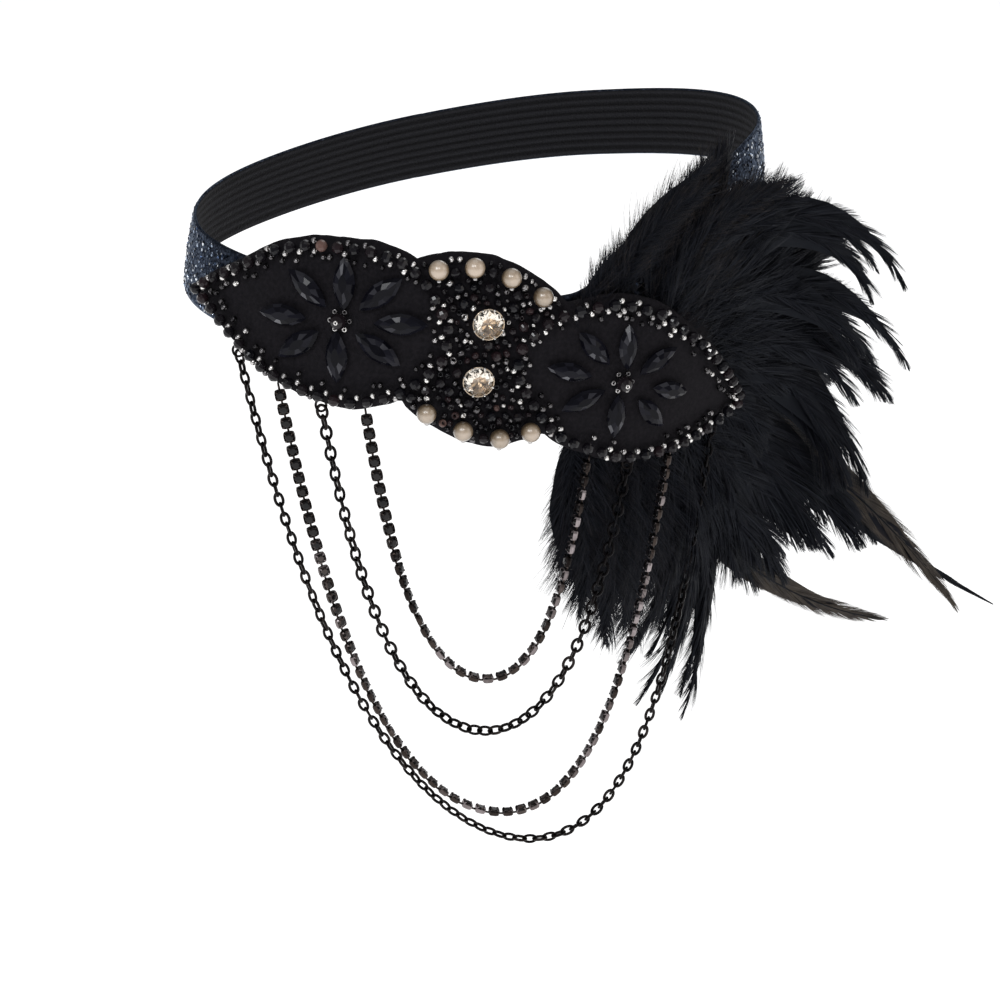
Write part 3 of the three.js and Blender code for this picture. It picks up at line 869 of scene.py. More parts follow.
@dataclass
class ElasticLoop:
    """The loop of ribbed elastic, with glitter on its outer face."""

    girth: Floats = (-263, -200, -132, -100, -60, -20, 5, 30, 60, 90, 132, 200, 263)
    height: Floats = (2, -6, -11.5, -14, -19, -23, -22, -10, 7, 13.5, 15.5, 10, 2)
    width: float = 23.0
    thickness: float = 1.2
    edge: float = 0.35
    ribs: int = 9
    back_ribs: int = 9
    back_margin: float = 0.02
    rib_steps: int = 3
    rib_depth: float = 0.16
    stations: int = 300
    flakes: int = 3900
    flake_sizes: Pair = (0.5, 1.3)
    flake_shades: Pair = (0.85, 0.95)
    flake_tilt: float = 0.4
    flake_margin: float = 0.04
    flake_gap: float = 0.6
    flake_rest: float = 0.02
    seed: int = 11

    def place(self, girth: Array, share: Array) -> Array:
        """Give the height at a share of the way across the loop.

        Args:
            girth: The girths.
            share: The shares, from 0 at the lower edge to 1 at the upper.

        Returns:
            The heights.
        """
        path = Profile(self.girth, self.height)
        slope = (path.at(girth + 1) - path.at(girth - 1)) / 2
        return path.at(girth) + (share - 0.5) * self.width * np.hypot(1.0, slope)

    def build(self) -> None:
        """Build the elastic and its glitter."""
        around = HEAD.girth_round()
        girth = (np.arange(self.stations) / self.stations - 0.5) * around
        inner = np.linspace(self.back_margin, 1.0 - self.back_margin, self.rib_steps * self.back_ribs + 1)
        groove = 0.5 - 0.5 * np.cos(inner * TURN * self.back_ribs)
        outer = np.linspace(1.0, 0.0, self.rib_steps * self.ribs + 1)
        wave = 0.5 - 0.5 * np.cos(outer * TURN * self.ribs)
        depth = self.thickness - self.rib_depth * (1.0 - wave)
        depth[[0, -1]] = self.thickness - self.edge
        share = np.concatenate([inner, outer])
        offset = np.concatenate([self.rib_depth * (1.0 - groove), depth])
        height = self.place(girth[:, None], share[None])
        points = HEAD.point(girth[:, None], height, np.broadcast_to(offset, height.shape))
        faces = rings_joined(self.stations, len(share), True)
        column = np.arange(len(faces)) % len(share)
        hidden = column < len(inner) - 1
        build = MeshBuild()
        # Painted shade: the back's tone follows its ribs, dark in the grooves and light on the rib tops; the
        # outer face keeps an even tone.
        shade = np.concatenate([groove, np.full(len(outer), 0.5)])
        build.add(points, [faces[~hidden]], np.tile(shade, self.stations))
        build.faces.append((faces[hidden], 1, True))
        piece = build.piece("elastic_loop", [ELASTIC, ELASTIC_BACK], "glitter_elastic", ["elastic_band"])
        self.glitter(around)

    def glitter(self, around: float) -> None:
        """Scatter flakes of glitter where the felt doesn't cover the loop.

        Args:
            around: The loop's length.
        """
        rng = np.random.default_rng(self.seed)
        girth = rng.uniform(-0.5, 0.5, self.flakes) * around
        share = rng.uniform(self.flake_margin, 1.0 - self.flake_margin, self.flakes)
        height = self.place(girth, share)
        first, last = FELT.span()
        covered = (girth > first) & (girth < last)
        covered &= height < FELT.top(girth) + self.flake_gap
        covered &= height > FELT.bottom(girth) - self.flake_gap
        girth, height = girth[~covered], height[~covered]
        point, out, up, back = HEAD.axes(girth, height)
        count = len(girth)
        heading = rng.uniform(0.0, TURN, count)
        lean = back * np.cos(heading)[:, None] + up * np.sin(heading)[:, None]
        tilt = np.abs(rng.normal(0.0, self.flake_tilt, count))
        axes = axes_turned(np.stack([back, up, out], -2), lean, tilt)
        size = rng.uniform(*self.flake_sizes, count)
        tone = rng.beta(*self.flake_shades, count)
        sides, _, top = FLAKE.faces
        flake = Shape(FLAKE.points, (sides, top))
        build = MeshBuild()
        centre = point + out * (self.thickness + self.flake_rest)
        build.copies(flake, centre, axes, size, tone, smooth=False)
        build.piece("loop_glitter", [GLITTER], "glitter_elastic")


@dataclass
class FeltBacking:
    """The felt that the beads and stones are sewn to."""

    stations: int = 180
    rows: int = 12
    edge: float = 0.5
    pucker: float = 0.12
    fray: float = 0.16
    fray_blend: Floats = (0.3, 0.4, 0.3)
    seed: int = 5

    def build(self) -> None:
        """Build the felt with soft edges and a slightly puckered face."""
        rng = np.random.default_rng(self.seed)
        first, last = FELT.span()
        girth = np.linspace(first, last, self.stations)
        top, bottom = FELT.top(girth), FELT.bottom(girth)
        ragged = np.convolve(rng.normal(0.0, self.fray, self.stations + 2), self.fray_blend, "valid")
        top, bottom = top + ragged, bottom + ragged[::-1]
        back, front = FELT.back(girth), FELT.front(girth)
        share = np.linspace(0.0, 1.0, self.rows)
        face = bottom[:, None] + self.edge + (top - bottom - 2 * self.edge)[:, None] * share
        puff = rng.normal(0.0, self.pucker, face.shape)
        middle = ((back + front) / 2)[:, None]
        heights = np.concatenate([face, top[:, None], face[:, ::-1], bottom[:, None]], 1)
        fronts = front[:, None] - np.abs(puff)
        backs = np.broadcast_to(back[:, None], face.shape)
        offsets = np.concatenate([backs, middle, fronts, middle], 1)
        points = HEAD.point(girth[:, None], heights, offsets)
        build = MeshBuild()
        build.add(points, tube_faces(self.stations, heights.shape[1]))
        piece = build.piece("felt_backing", [BLACK_FELT], "black_felt", ["applique_backing"])


def ball(reach: float, rings: int, sides: int) -> Shape:
    """Turn a round bead, cut flat at its ends."""
    return turned([(0.5 * math.cos(a), 0.5 * math.sin(a)) for a in np.linspace(-reach, reach, rings)], sides)


SEED_BEAD = turned(
    [(0.22, -0.22), (0.34, -0.34), (0.46, -0.2), (0.5, 0.0), (0.46, 0.2), (0.34, 0.34), (0.22, 0.22)],
    10,
    ring=True,
)
FACET_BEAD = turned(
    [(0.16, -0.46), (0.38, -0.32), (0.5, -0.08), (0.5, 0.08), (0.38, 0.32), (0.16, 0.46)], 10
)
ROUND_BEAD = ball(1.45, 15, 24)
SMALL_BEAD = ball(1.3, 7, 12)


def spaced(line: Array, pitch: float) -> Array:
    """Space places evenly round a closed line of the chart.

    Args:
        line: Girth and height of the line's points.
        pitch: The distance between places, about.

    Returns:
        Girth and height of each place.
    """
    closed = np.concatenate([line, line[:1]])
    step = np.linalg.norm(np.diff(closed, axis=0), axis=1)
    length = np.concatenate([[0.0], np.cumsum(step)])
    count = max(3, round(length[-1] / pitch))
    at = np.arange(count) * length[-1] / count
    return np.stack([np.interp(at, length, closed[:, i]) for i in range(2)], -1)


@dataclass
class BeadField:
    """All the round and seed beads sewn to the felt.

    Each of the seed rows has a shift inwards, a gap to the felt and the share of its beads that is kept.
    """

    rim_bead: float = 3.8
    rim_pitch: float = 4.9
    rim_inset: float = 3.0
    rim_gap: float = 0.3
    rim_sizes: Pair = (0.93, 1.0)
    rim_shades: Pair = (0.0, 0.75)
    mauve_at: float = -70.0
    mauve_shade: float = 1.0
    seed_bead: float = 2.1
    seed_rows: tuple[Floats, ...] = ((1.6, 0.9, 0.85), (-1.4, 0.4, 0.5))
    seed_sizes: Pair = (0.85, 1.05)
    seed_shades: Pair = (2.2, 0.9)
    inner_inset: float = 6.6
    inner_pitch: float = 2.6
    inner_share: float = 0.6
    inner_scatter: float = 0.4
    inner_gap: float = 0.05
    inner_sizes: Pair = (0.8, 1.0)
    inner_shades: Pair = (0.5, 1.6)
    fill_sizes: Floats = (3.2, 2.5, 2.0, 1.6)
    fill_tries: tuple[int, ...] = (160, 500, 2500, 5000)
    fill_inset: float = 1.0
    leaf_inset: float = 2.2
    fill_space: float = 0.46
    fill_gap: float = 0.1
    fill_lean: float = 1.57
    lean_spread: Pair = (3.0, 1.0)
    bright_share: float = 0.42
    jet_shades: Pair = (1.0, 1.6)
    silver_shades: Pair = (0.9, 1.1)
    seed: int = 23

    def __post_init__(self) -> None:
        """Start the seeded draws and the list of places that are taken."""
        self.rng = np.random.default_rng(self.seed)
        self.places: list[Array] = []

    def taken(self, row: Array, size: float) -> None:
        """Note where beads are, so that others keep clear of them."""
        sizes = np.full(len(row), size / 2)
        self.places.append(np.column_stack([row, sizes]))

    def strung(self, row: Array, size: float, lift: float) -> tuple[Array, Array]:
        """Stand a string of beads on the felt.

        Args:
            row: Girth and height of each bead.
            size: The bead's diameter.
            lift: The gap between the bead and the felt.

        Returns:
            The beads' centres, and their axes with Z along the string.
        """
        point, axes = FELT.axes(row[:, 0], row[:, 1])
        centre = point + axes[:, 2] * (lift + size / 2)
        along = unit(np.roll(centre, -1, 0) - np.roll(centre, 1, 0))
        side = unit(np.cross(along, axes[:, 2]))
        return centre, np.stack([side, np.cross(along, side), along], -2)

    def rim(self, leaf: Lobe, side: str) -> None:
        """String the beads round one leaf.

        Args:
            leaf: The leaf.
            side: The leaf's side, in the piece's name.
        """
        row = spaced(leaf.edge_line(self.rim_inset), self.rim_pitch)
        centre, axes = self.strung(row, self.rim_bead, self.rim_gap)
        size = self.rim_bead * self.rng.uniform(*self.rim_sizes, len(row))
        tone = self.rng.uniform(*self.rim_shades, len(row))
        if side == "left":
            mark = np.array([self.mauve_at, leaf.high(np.array([self.mauve_at]))[0]])
            tone[np.argmin(np.linalg.norm(row - mark, axis=1))] = self.mauve_shade
        build = MeshBuild()
        build.copies(FACET_BEAD, centre, axes, size, tone, smooth=False)
        build.piece(f"{side}_rim_beads", [JET_BEAD], "jet_bead", [f"{side}_leaf_rim"])
        self.taken(row, self.rim_bead)

    def seeds(self, leaf: Lobe, side: str) -> None:
        """Sew the seed beads between and inside the rim's beads.

        Args:
            leaf: The leaf.
            side: The leaf's side, in the piece's name.
        """
        build = MeshBuild()
        row = spaced(leaf.edge_line(self.rim_inset), self.rim_pitch)
        between = (row + np.roll(row, -1, 0)) / 2
        middle = np.array([np.mean(leaf.girth), (np.max(leaf.top) + np.min(leaf.bottom)) / 2])
        inward = middle - between
        inward /= np.linalg.norm(inward, axis=1, keepdims=True)
        for shift, lift, share in self.seed_rows:
            spot = between + inward * shift
            centre, axes = self.strung(spot, self.seed_bead, lift)
            keep = self.rng.random(len(spot)) < share
            tone = self.rng.beta(*self.seed_shades, len(spot))
            size = self.seed_bead * self.rng.uniform(*self.seed_sizes, len(spot))
            build.copies(SEED_BEAD, centre[keep], axes[keep], size[keep], tone[keep])
            self.taken(spot[keep], self.seed_bead)
        inner = spaced(leaf.edge_line(self.inner_inset), self.inner_pitch)
        inner += self.rng.normal(0.0, self.inner_scatter, inner.shape)
        inner = inner[self.rng.random(len(inner)) < self.inner_share]
        centre, axes = self.strung(inner, self.seed_bead, self.inner_gap)
        tone = self.rng.beta(*self.inner_shades, len(inner))
        size = self.seed_bead * self.rng.uniform(*self.inner_sizes, len(inner))
        build.copies(SEED_BEAD, centre, axes, size, tone)
        self.taken(inner, self.seed_bead)
        build.piece(f"{side}_seed_beads", [SILVER_BEAD], "gunmetal")

    def scattered(self) -> Array:
        """Find room for the beads of the middle lobe, the largest first.

        Returns:
            Girth, height and radius of each bead.
        """
        found: list[tuple[float, float, float]] = []
        for size, tries in zip(self.fill_sizes, self.fill_tries):
            girth = self.rng.uniform(MIDDLE_LOBE.girth[0], MIDDLE_LOBE.girth[-1], tries)
            height = self.rng.uniform(min(MIDDLE_LOBE.bottom), max(MIDDLE_LOBE.top), tries)
            good = MIDDLE_LOBE.holds(girth, height, self.fill_inset + size / 2)
            for leaf in (LEFT_LEAF, RIGHT_LEAF):
                good &= ~leaf.holds(girth, height, self.leaf_inset - size / 2)
            for g, h in zip(girth[good], height[good]):
                near = np.concatenate([*self.places, np.array(found).reshape(-1, 3)])
                gap = np.hypot(near[:, 0] - g, near[:, 1] - h) - near[:, 2]
                if np.min(gap) > self.fill_space * size:
                    found.append((g, h, size / 2))
        return np.array(found)

    def fill(self, keep_clear: Array) -> None:
        """Fill the middle lobe with beads of several sizes.

        Args:
            keep_clear: Girth, height and radius of the stones and pearls.
        """
        self.places.append(keep_clear)
        rows = self.scattered()
        count = len(rows)
        point, axes = FELT.axes(rows[:, 0], rows[:, 1])
        out = axes[:, 2]
        spin = self.rng.uniform(0.0, TURN, count)
        lean = self.fill_lean * self.rng.beta(*self.lean_spread, count)
        axes = axes_turned(axes, out, spin)
        axes = axes_turned(axes, axes[:, 0], lean)
        size = 2.0 * rows[:, 2]
        centre = point + out * (self.fill_gap + size / 2)[:, None]
        kind = self.rng.random(count)
        big = size > self.fill_sizes[1]
        bright = ~big & (kind < self.bright_share)
        dark = ~big & ~bright
        jet = MeshBuild()
        shade = self.rng.beta(*self.jet_shades, count)
        jet.copies(FACET_BEAD, centre[big], axes[big], size[big], shade[big], smooth=False)
        jet.copies(SEED_BEAD, centre[dark], axes[dark], size[dark], shade[dark])
        jet.piece("middle_jet_beads", [JET_BEAD], "jet_bead")
        metal = MeshBuild()
        shade = self.rng.beta(*self.silver_shades, count)
        metal.copies(SEED_BEAD, centre[bright], axes[bright], size[bright], shade[bright])
        metal.piece("middle_silver_beads", [SILVER_BEAD], "gunmetal")

    def build(self, keep_clear: Array) -> None:
        """Build every bead on the felt.

        Args:
            keep_clear: Girth, height and radius of the stones and pearls.
        """
        leaves = ((LEFT_LEAF, "left"), (RIGHT_LEAF, "right"))
        for leaf, side in leaves:
            self.rim(leaf, side)
        for leaf, side in leaves:
            self.seeds(leaf, side)
        self.fill(keep_clear)


def navette() -> Shape:
    """Cut a pointed oval stone of unit length, width and height.

    Returns:
        The stone, with its point along X and its table up.
    """
    belly, nose = 1.9, 0.9
    along = np.array([1.0, 0.78, 0.4, 0.0, -0.4, -0.78])
    half = 0.5 * (1.0 - np.abs(along) ** belly) ** nose
    x = np.concatenate([0.5 * along, -0.5 * along])
    y = np.concatenate([half, -half])
    levels = [(0.0, 0.9), (0.3, 1.0), (0.38, 1.0), (0.74, 0.78), (1.0, 0.38)]
    rings = [np.stack([x * size, y * size, np.full(len(x), level)], -1) for level, size in levels]
    return Shape(np.concatenate(rings), tube_faces(len(levels), len(x)))


@dataclass
class StoneFlower:
    """Eight pointed stones round a bead, on one leaf."""

    side: str
    girth: float
    height: float
    slope: float
    reach: float
    rise: float
    length: float
    width: float
    stone_height: float = 2.6
    stone_grown: Pair = (1.16, 1.14)
    seat: float = 0.5
    roll: float = 0.16
    painted_facet_reflections: Pair = (0.9, 2.1)
    angles: Floats = (0, 52, 90, 128, 180, 228, 270, 312)
    heart: float = 5.0
    heart_gap: float = 0.3
    heart_shade: float = 0.6
    ring_seeds: int = 6
    ring_seed: float = 1.7
    ring_reach: float = 0.6
    ring_sink: float = -0.55
    ring_shades: Pair = (0.2, 0.9)
    crown_seed: float = 1.5
    crown_rise: float = 0.46
    crown_shade: float = 0.95
    seed: int = 5

    def stones(self) -> None:
        """Build the eight stones."""
        rng = np.random.default_rng(self.seed)
        angle = np.radians(self.angles)
        count = len(angle)
        along = self.reach * np.cos(angle)
        across = self.rise * np.sin(angle) + self.slope * along
        point, axes = FELT.axes(self.girth + along, self.height + across)
        axes = axes_turned(axes, axes[:, 2], np.arctan2(across, along))
        axes = axes_turned(axes, axes[:, 0], rng.uniform(-self.roll, self.roll, count))
        longer, wider = self.stone_grown
        size = np.tile([self.length * longer, self.width * wider, self.stone_height], (count, 1))
        stone, facet = parted(navette())
        # Painted reflections: some facets of each stone take a lighter tone, as if they caught light inside
        # the stone.
        tone = rng.beta(*self.painted_facet_reflections, (count, facet[-1] + 1))[:, facet]
        build = MeshBuild()
        build.copies(stone, point + axes[:, 2] * self.seat, axes, size, tone, smooth=False)
        nodes = [f"{self.side}_petal_{i + 1}" for i in range(count)]
        build.piece(f"{self.side}_flower_stones", [JET_STONE], "jet_stone", nodes)

    def middle(self) -> None:
        """Build the bead in the middle, with seed beads round it and one on top."""
        point, axes = FELT.axes(np.array([self.girth]), np.array([self.height]))
        count = self.ring_seeds
        build = MeshBuild()
        centre = point + axes[:, 2] * (self.heart_gap + self.heart / 2)
        build.copies(FACET_BEAD, centre, axes, self.heart, self.heart_shade, smooth=False)
        ring = np.linspace(0.0, TURN, count + 1)[:-1]
        spot = ring_of(ring, 1.0, self.ring_sink) @ axes[0]
        seeds = centre + spot * self.heart * self.ring_reach
        shades = np.linspace(*self.ring_shades, count)
        build.copies(SEED_BEAD, seeds, np.repeat(axes, count, 0), self.ring_seed, shades, 1)
        crown = centre + axes[:, 2] * self.heart * self.crown_rise
        build.copies(SEED_BEAD, crown, axes, self.crown_seed, self.crown_shade, 1)
        node = f"{self.side}_flower_centre"
        build.piece(f"{self.side}_flower_heart", [JET_BEAD, SILVER_BEAD], "jet_bead", [node])

    def build(self) -> None:
        """Build the stones and the bead in their middle."""
        self.stones()
        self.middle()


@dataclass
class PearlRows:
    """The pearls along the upper and lower edges of the middle lobe."""

    upper: Pairs = ((-35.5, -0.8), (-25.5, -0.2), (-14.9, -3.4), (-5.1, -9.4))
    lower: Pairs = ((-34.7, -43), (-23.8, -48.6), (-12.8, -51.6), (-3.6, -50.2))
    shades: Floats = (0.85, 0.9, 0.7, 0.5, 0.55, 0.6, 0.5, 0.6)
    size: float = 6.0
    gap: float = 0.3
    # Painted shading on the pearls: how much the tone is raised on the face turned out, and lowered towards
    # the bottom.
    painted_shading: float = 1.1
    painted_shading_middle: float = 0.75
    painted_shading_fall: float = 0.3
    stop_bead: float = 1.5
    stop_gap: float = 0.25
    stop_sink: float = 0.4
    stop_shade: float = 0.7

    def rows(self) -> Array:
        """Give girth and height of every pearl."""
        return np.array(self.upper + self.lower)

    def build(self) -> None:
        """Build the pearls, each with the seed bead that holds it."""
        rows = self.rows()
        point, axes = FELT.axes(rows[:, 0], rows[:, 1])
        centre = point + axes[:, 2] * (self.gap + self.size / 2)
        drilled = np.stack([axes[:, 0], axes[:, 2], -axes[:, 1]], -2)
        _, front, low = ROUND_BEAD.points.T
        # Painted shading: each pearl's tone is raised where it faces out and lowered towards the felt and
        # towards the bottom.
        near = self.painted_shading * (2.0 * front - self.painted_shading_middle) - self.painted_shading_fall * low
        pearls = MeshBuild()
        pearls.copies(ROUND_BEAD, centre, drilled, self.size, np.array(self.shades)[:, None] + near)
        stops = centre - axes[:, 1] * (self.size / 2 + self.stop_gap) - axes[:, 2] * self.stop_sink
        pearls.copies(SEED_BEAD, stops, drilled, self.stop_bead, self.stop_shade, 1)
        edges = {"upper": self.upper, "lower": self.lower}
        nodes = [f"pearl_{edge}_{i + 1}" for edge, row in edges.items() for i in range(len(row))]
        pearls.piece("pearls", [PEARL, SILVER_BEAD], "pearl", nodes)


@dataclass
class CrystalStone:
    """A round brilliant with foil under it, held by prongs.

    Reaches are shares of the stone's radius, and levels are shares of its depth.
    """

    name: str
    girth: float
    height: float
    size: float = 9.4
    depth: float = 5.0
    seat: float = 0.5
    stone_reach: float = 0.94
    table_reach: float = 0.56
    star_reach: float = 0.8
    star_level: float = 0.84
    girdle_levels: Pair = (0.6, 0.55)
    tip_level: float = 0.16
    foil_reaches: Pair = (0.92, 0.48)
    foil_levels: Floats = (0.5, 0.28, 0.08)
    foil_shades: Pair = (0.6, 0.6)
    cup_wall: Pairs = (
        (0.7, 0.0), (0.74, 0.0), (0.99, 0.46), (1.0, 0.58), (0.955, 0.58), (0.94, 0.5), (0.68, 0.06)
    )
    cup_sides: int = 32
    cup_shade: float = 0.8
    prongs: int = 8
    prong: float = 1.3
    prong_scale: float = 0.62
    prong_form: Floats = (0.9, 1.0, 1.5)
    prong_reach: float = 0.97
    prong_level: float = 0.62
    prong_shade: float = 0.9

    def cut(self) -> Shape:
        """Cut the brilliant: a table, stars, kites, girdle facets and a cone below.

        Returns:
            The stone.
        """
        r, h = self.size / 2 * self.stone_reach, self.depth
        upper, lower = self.girdle_levels
        eight = np.arange(8) * math.pi / 4
        sixteen = np.arange(16) * math.pi / 8
        rings = (
            ring_of(eight, r * self.table_reach, h),
            ring_of(eight + math.pi / 8, r * self.star_reach, h * self.star_level),
            ring_of(sixteen, r, h * upper),
            ring_of(sixteen, r, h * lower),
            np.array([[0.0, 0.0, h * self.tip_level]]),
        )
        i = np.arange(8)
        j = np.arange(16)
        table, star, top, low, tip = 0, 8, 16, 32, 48
        after, turn = (i + 1) % 8, (j + 1) % 16
        stars = np.stack([table + i, star + i, table + after], -1)
        kites = np.stack([table + i, star + (i - 1) % 8, top + 2 * i, star + i], -1)
        first = np.stack([star + i, top + 2 * i, top + 2 * i + 1], -1)
        second = np.stack([star + i, top + 2 * i + 1, top + (2 * i + 2) % 16], -1)
        girdle = np.stack([low + j, low + turn, top + turn, top + j], -1)
        cone = np.stack([low + turn, low + j, np.full(16, tip)], -1)
        faces = (i[None], stars, kites, first, second, girdle, cone)
        return Shape(np.concatenate(rings), faces)

    def foil(self) -> Array:
        """Fold the bright foil under the stone.

        Returns:
            Three corners for each facet.
        """
        outer, inner = self.foil_reaches
        high, half, deep = self.foil_levels
        rim = ring_of(np.arange(17) * math.pi / 8, self.size / 2 * outer, self.depth * high)
        middle = inner * rim * [1.0, 1.0, 0.0] + UP * self.depth * half
        low = np.broadcast_to(UP * self.depth * deep, middle[1:].shape)
        facets = (
            [low, middle[1:], middle[:-1]],
            [middle[:-1], middle[1:], rim[:-1]],
            [middle[1:], rim[1:], rim[:-1]],
        )
        return np.concatenate([np.stack(corners, 1) for corners in facets])

    def setting(self, seat: Array, axes: Array) -> None:
        """Build the cup and its prongs.

        Args:
            seat: Where the stone stands.
            axes: The stone's own X, Y and Z.
        """
        r, h = self.size / 2, self.depth
        build = MeshBuild()
        wall = [(r * reach, h * level) for reach, level in self.cup_wall]
        cup = turned(wall, self.cup_sides, ring=True)
        build.copies(cup, seat, axes, tone=self.cup_shade, finish=1)
        angle = (np.arange(self.prongs) + 0.5) * TURN / self.prongs
        outward = ring_of(angle, 1.0, 0.0)
        claws = seat + (outward * r * self.prong_reach + UP * h * self.prong_level) @ axes[0]
        x = outward @ axes[0]
        z = np.repeat(axes[:, 2], self.prongs, 0)
        claw_axes = np.stack([x, np.cross(z, x), z], -2)
        sizes = np.tile(self.prong_form, (self.prongs, 1)) * self.prong
        build.copies(SMALL_BEAD, claws, claw_axes, sizes * self.prong_scale, self.prong_shade)
        build.piece(f"{self.name}_setting", [SILVER_BEAD, FOIL], "gunmetal")

    def build(self) -> None:
        """Build the stone, its foil and its setting."""
        point, axes = FELT.axes(np.array([self.girth]), np.array([self.height]))
        seat = point + axes[:, 2] * self.seat
        build = MeshBuild()
        build.copies(self.cut(), seat, axes, smooth=False)
        facets = self.foil()
        shade = np.random.default_rng(len(self.name)).beta(*self.foil_shades, len(facets))
        corners = np.arange(3 * len(facets)).reshape(-1, 3)
        build.add(seat + facets.reshape(-1, 3) @ axes[0], [corners], np.repeat(shade, 3), 1, False)
        build.piece(f"{self.name}_stone", [CRYSTAL, FOIL], "crystal", [self.name])
        self.setting(seat, axes)


@dataclass(frozen=True)
class Swag:
    """The line of a free chain between two places on the felt's lower edge."""

    start: float
    end: float
    drop: Pair
    length: float
    swing: float
    bracket: Pair = (1e-4, 20.0)
    halvings: int = 60

    def fixed(self, girth: float, below: float) -> Array:
        """Find where an end is held, a little below the felt."""
        edge = FELT.bottom(np.array([girth]))[0] - below
        return HEAD.point(girth, edge, FELT.back(girth) + FELT.thickness / 2)

    def line(self, distance: Array) -> tuple[Array, Array, Array]:
        """Follow the chain.

        Args:
            distance: Distances along the chain from its first end.

        Returns:
            The points, the direction of the chain there, and the direction out of its plane.
        """
        first, last = self.fixed(self.start, self.drop[0]), self.fixed(self.end, self.drop[1])
        span = last - first
        rise = span[2]
        reach = float(np.hypot(span[0], span[1]))
        span = np.array([span[0], span[1], 0.0]) / reach
        ratio = math.sqrt(self.length**2 - rise**2) / reach
        small, large = self.bracket
        for _ in range(self.halvings):
            half = (small + large) / 2
            small, large = (half, large) if math.sinh(half) / half < ratio else (small, half)
        scale = reach / (small + large)
        low = (reach - scale * math.log((self.length + rise) / (self.length - rise))) / 2

        def at(d: Array) -> Array:
            """Find points of the catenary, swung along its span.

            Args:
                d: Distances along the chain.

            Returns:
                The points.
            """
            u = low + scale * np.arcsinh((d + scale * math.sinh(-low / scale)) / scale)
            fall = scale * (np.cosh((u - low) / scale) - math.cosh(low / scale))
            along = u + self.swing * np.sin(math.pi * u / reach)
            return first + span * along[:, None] + UP * fall[:, None]

        tangent = unit(at(distance + 0.5) - at(distance - 0.5))
        out = np.broadcast_to(np.cross(span, UP), tangent.shape)
        return at(distance), tangent, unit(out - tangent * np.sum(out * tangent, -1)[:, None])


@dataclass
class SwagChain:
    """One chain of the swag."""

    name: str
    swag: Swag
    seed: int


@dataclass
class CableChain(SwagChain):
    """A chain of oval wire links, each turned a quarter from the last, with a ring at each end."""

    link_length: float = 5.35
    link_width: float = 4.0
    wire: float = 0.98
    link_steps: tuple[int, int] = (18, 6)
    twist: float = 0.45
    twist_length: float = 150.0
    twist_scatter: float = 0.1
    shades: Pair = (0.1, 0.6)
    # Painted shade: how far the links darken towards the chain's far end, among the feathers, and over which
    # share of the chain.
    end_painted_shade: float = 0.8
    end_painted_shade_span: Pair = (0.7, 0.85)
    ring: float = 4.6
    ring_oval: float = 0.86
    ring_wire: float = 0.8
    ring_steps: tuple[int, int] = (20, 8)
    ring_inset: float = 0.4
    ring_shade: float = 0.25

    def end_rings(self, build: MeshBuild) -> None:
        """Add a ring at each end, sewn to the felt's edge.

        Args:
            build: What collects the chain.
        """
        ends = np.array([0.0, self.swag.length])
        point, tangent, out = self.swag.line(ends)
        ring = wire_oval(self.ring, self.ring * self.ring_oval, self.ring_wire, *self.ring_steps)
        inward = tangent * np.array([[-1.0], [1.0]])
        axes = np.stack([inward, np.cross(out, inward), out], -2)
        build.copies(ring, point + inward * self.ring_inset, axes, tone=self.ring_shade)

    def build(self) -> None:
        """Thread the links along the swag."""
        rng = np.random.default_rng(self.seed)
        pitch = self.link_length - 2.0 * self.wire
        count = round(self.swag.length / pitch)
        distance = (np.arange(count) + 0.5) * self.swag.length / count
        point, tangent, out = self.swag.line(distance)
        turn = np.where(np.arange(count) % 2 == 0, 0.0, math.pi / 2)
        turn = turn + self.twist * np.sin(TURN * distance / self.twist_length + self.seed)
        turn = turn + rng.normal(0.0, self.twist_scatter, count)
        normal = turned_about(out, tangent, turn)
        axes = np.stack([tangent, np.cross(normal, tangent), normal], -2)
        link = wire_oval(self.link_length, self.link_width, self.wire, *self.link_steps)
        # Painted shade: the links' tone drops towards the far end, where the chain lies among the feathers.
        dark = self.end_painted_shade * smoothstep(distance / self.swag.length, *self.end_painted_shade_span)
        shade = rng.uniform(*self.shades, count) * (1.0 - dark)
        build = MeshBuild()
        build.copies(link, point, axes, tone=shade)
        self.end_rings(build)
        build.piece(self.name.replace("chain", "links"), [GUNMETAL], "gunmetal", [self.name])


BAR = turned([(0.3, -0.5), (0.36, 0.0), (0.3, 0.5)], 8)


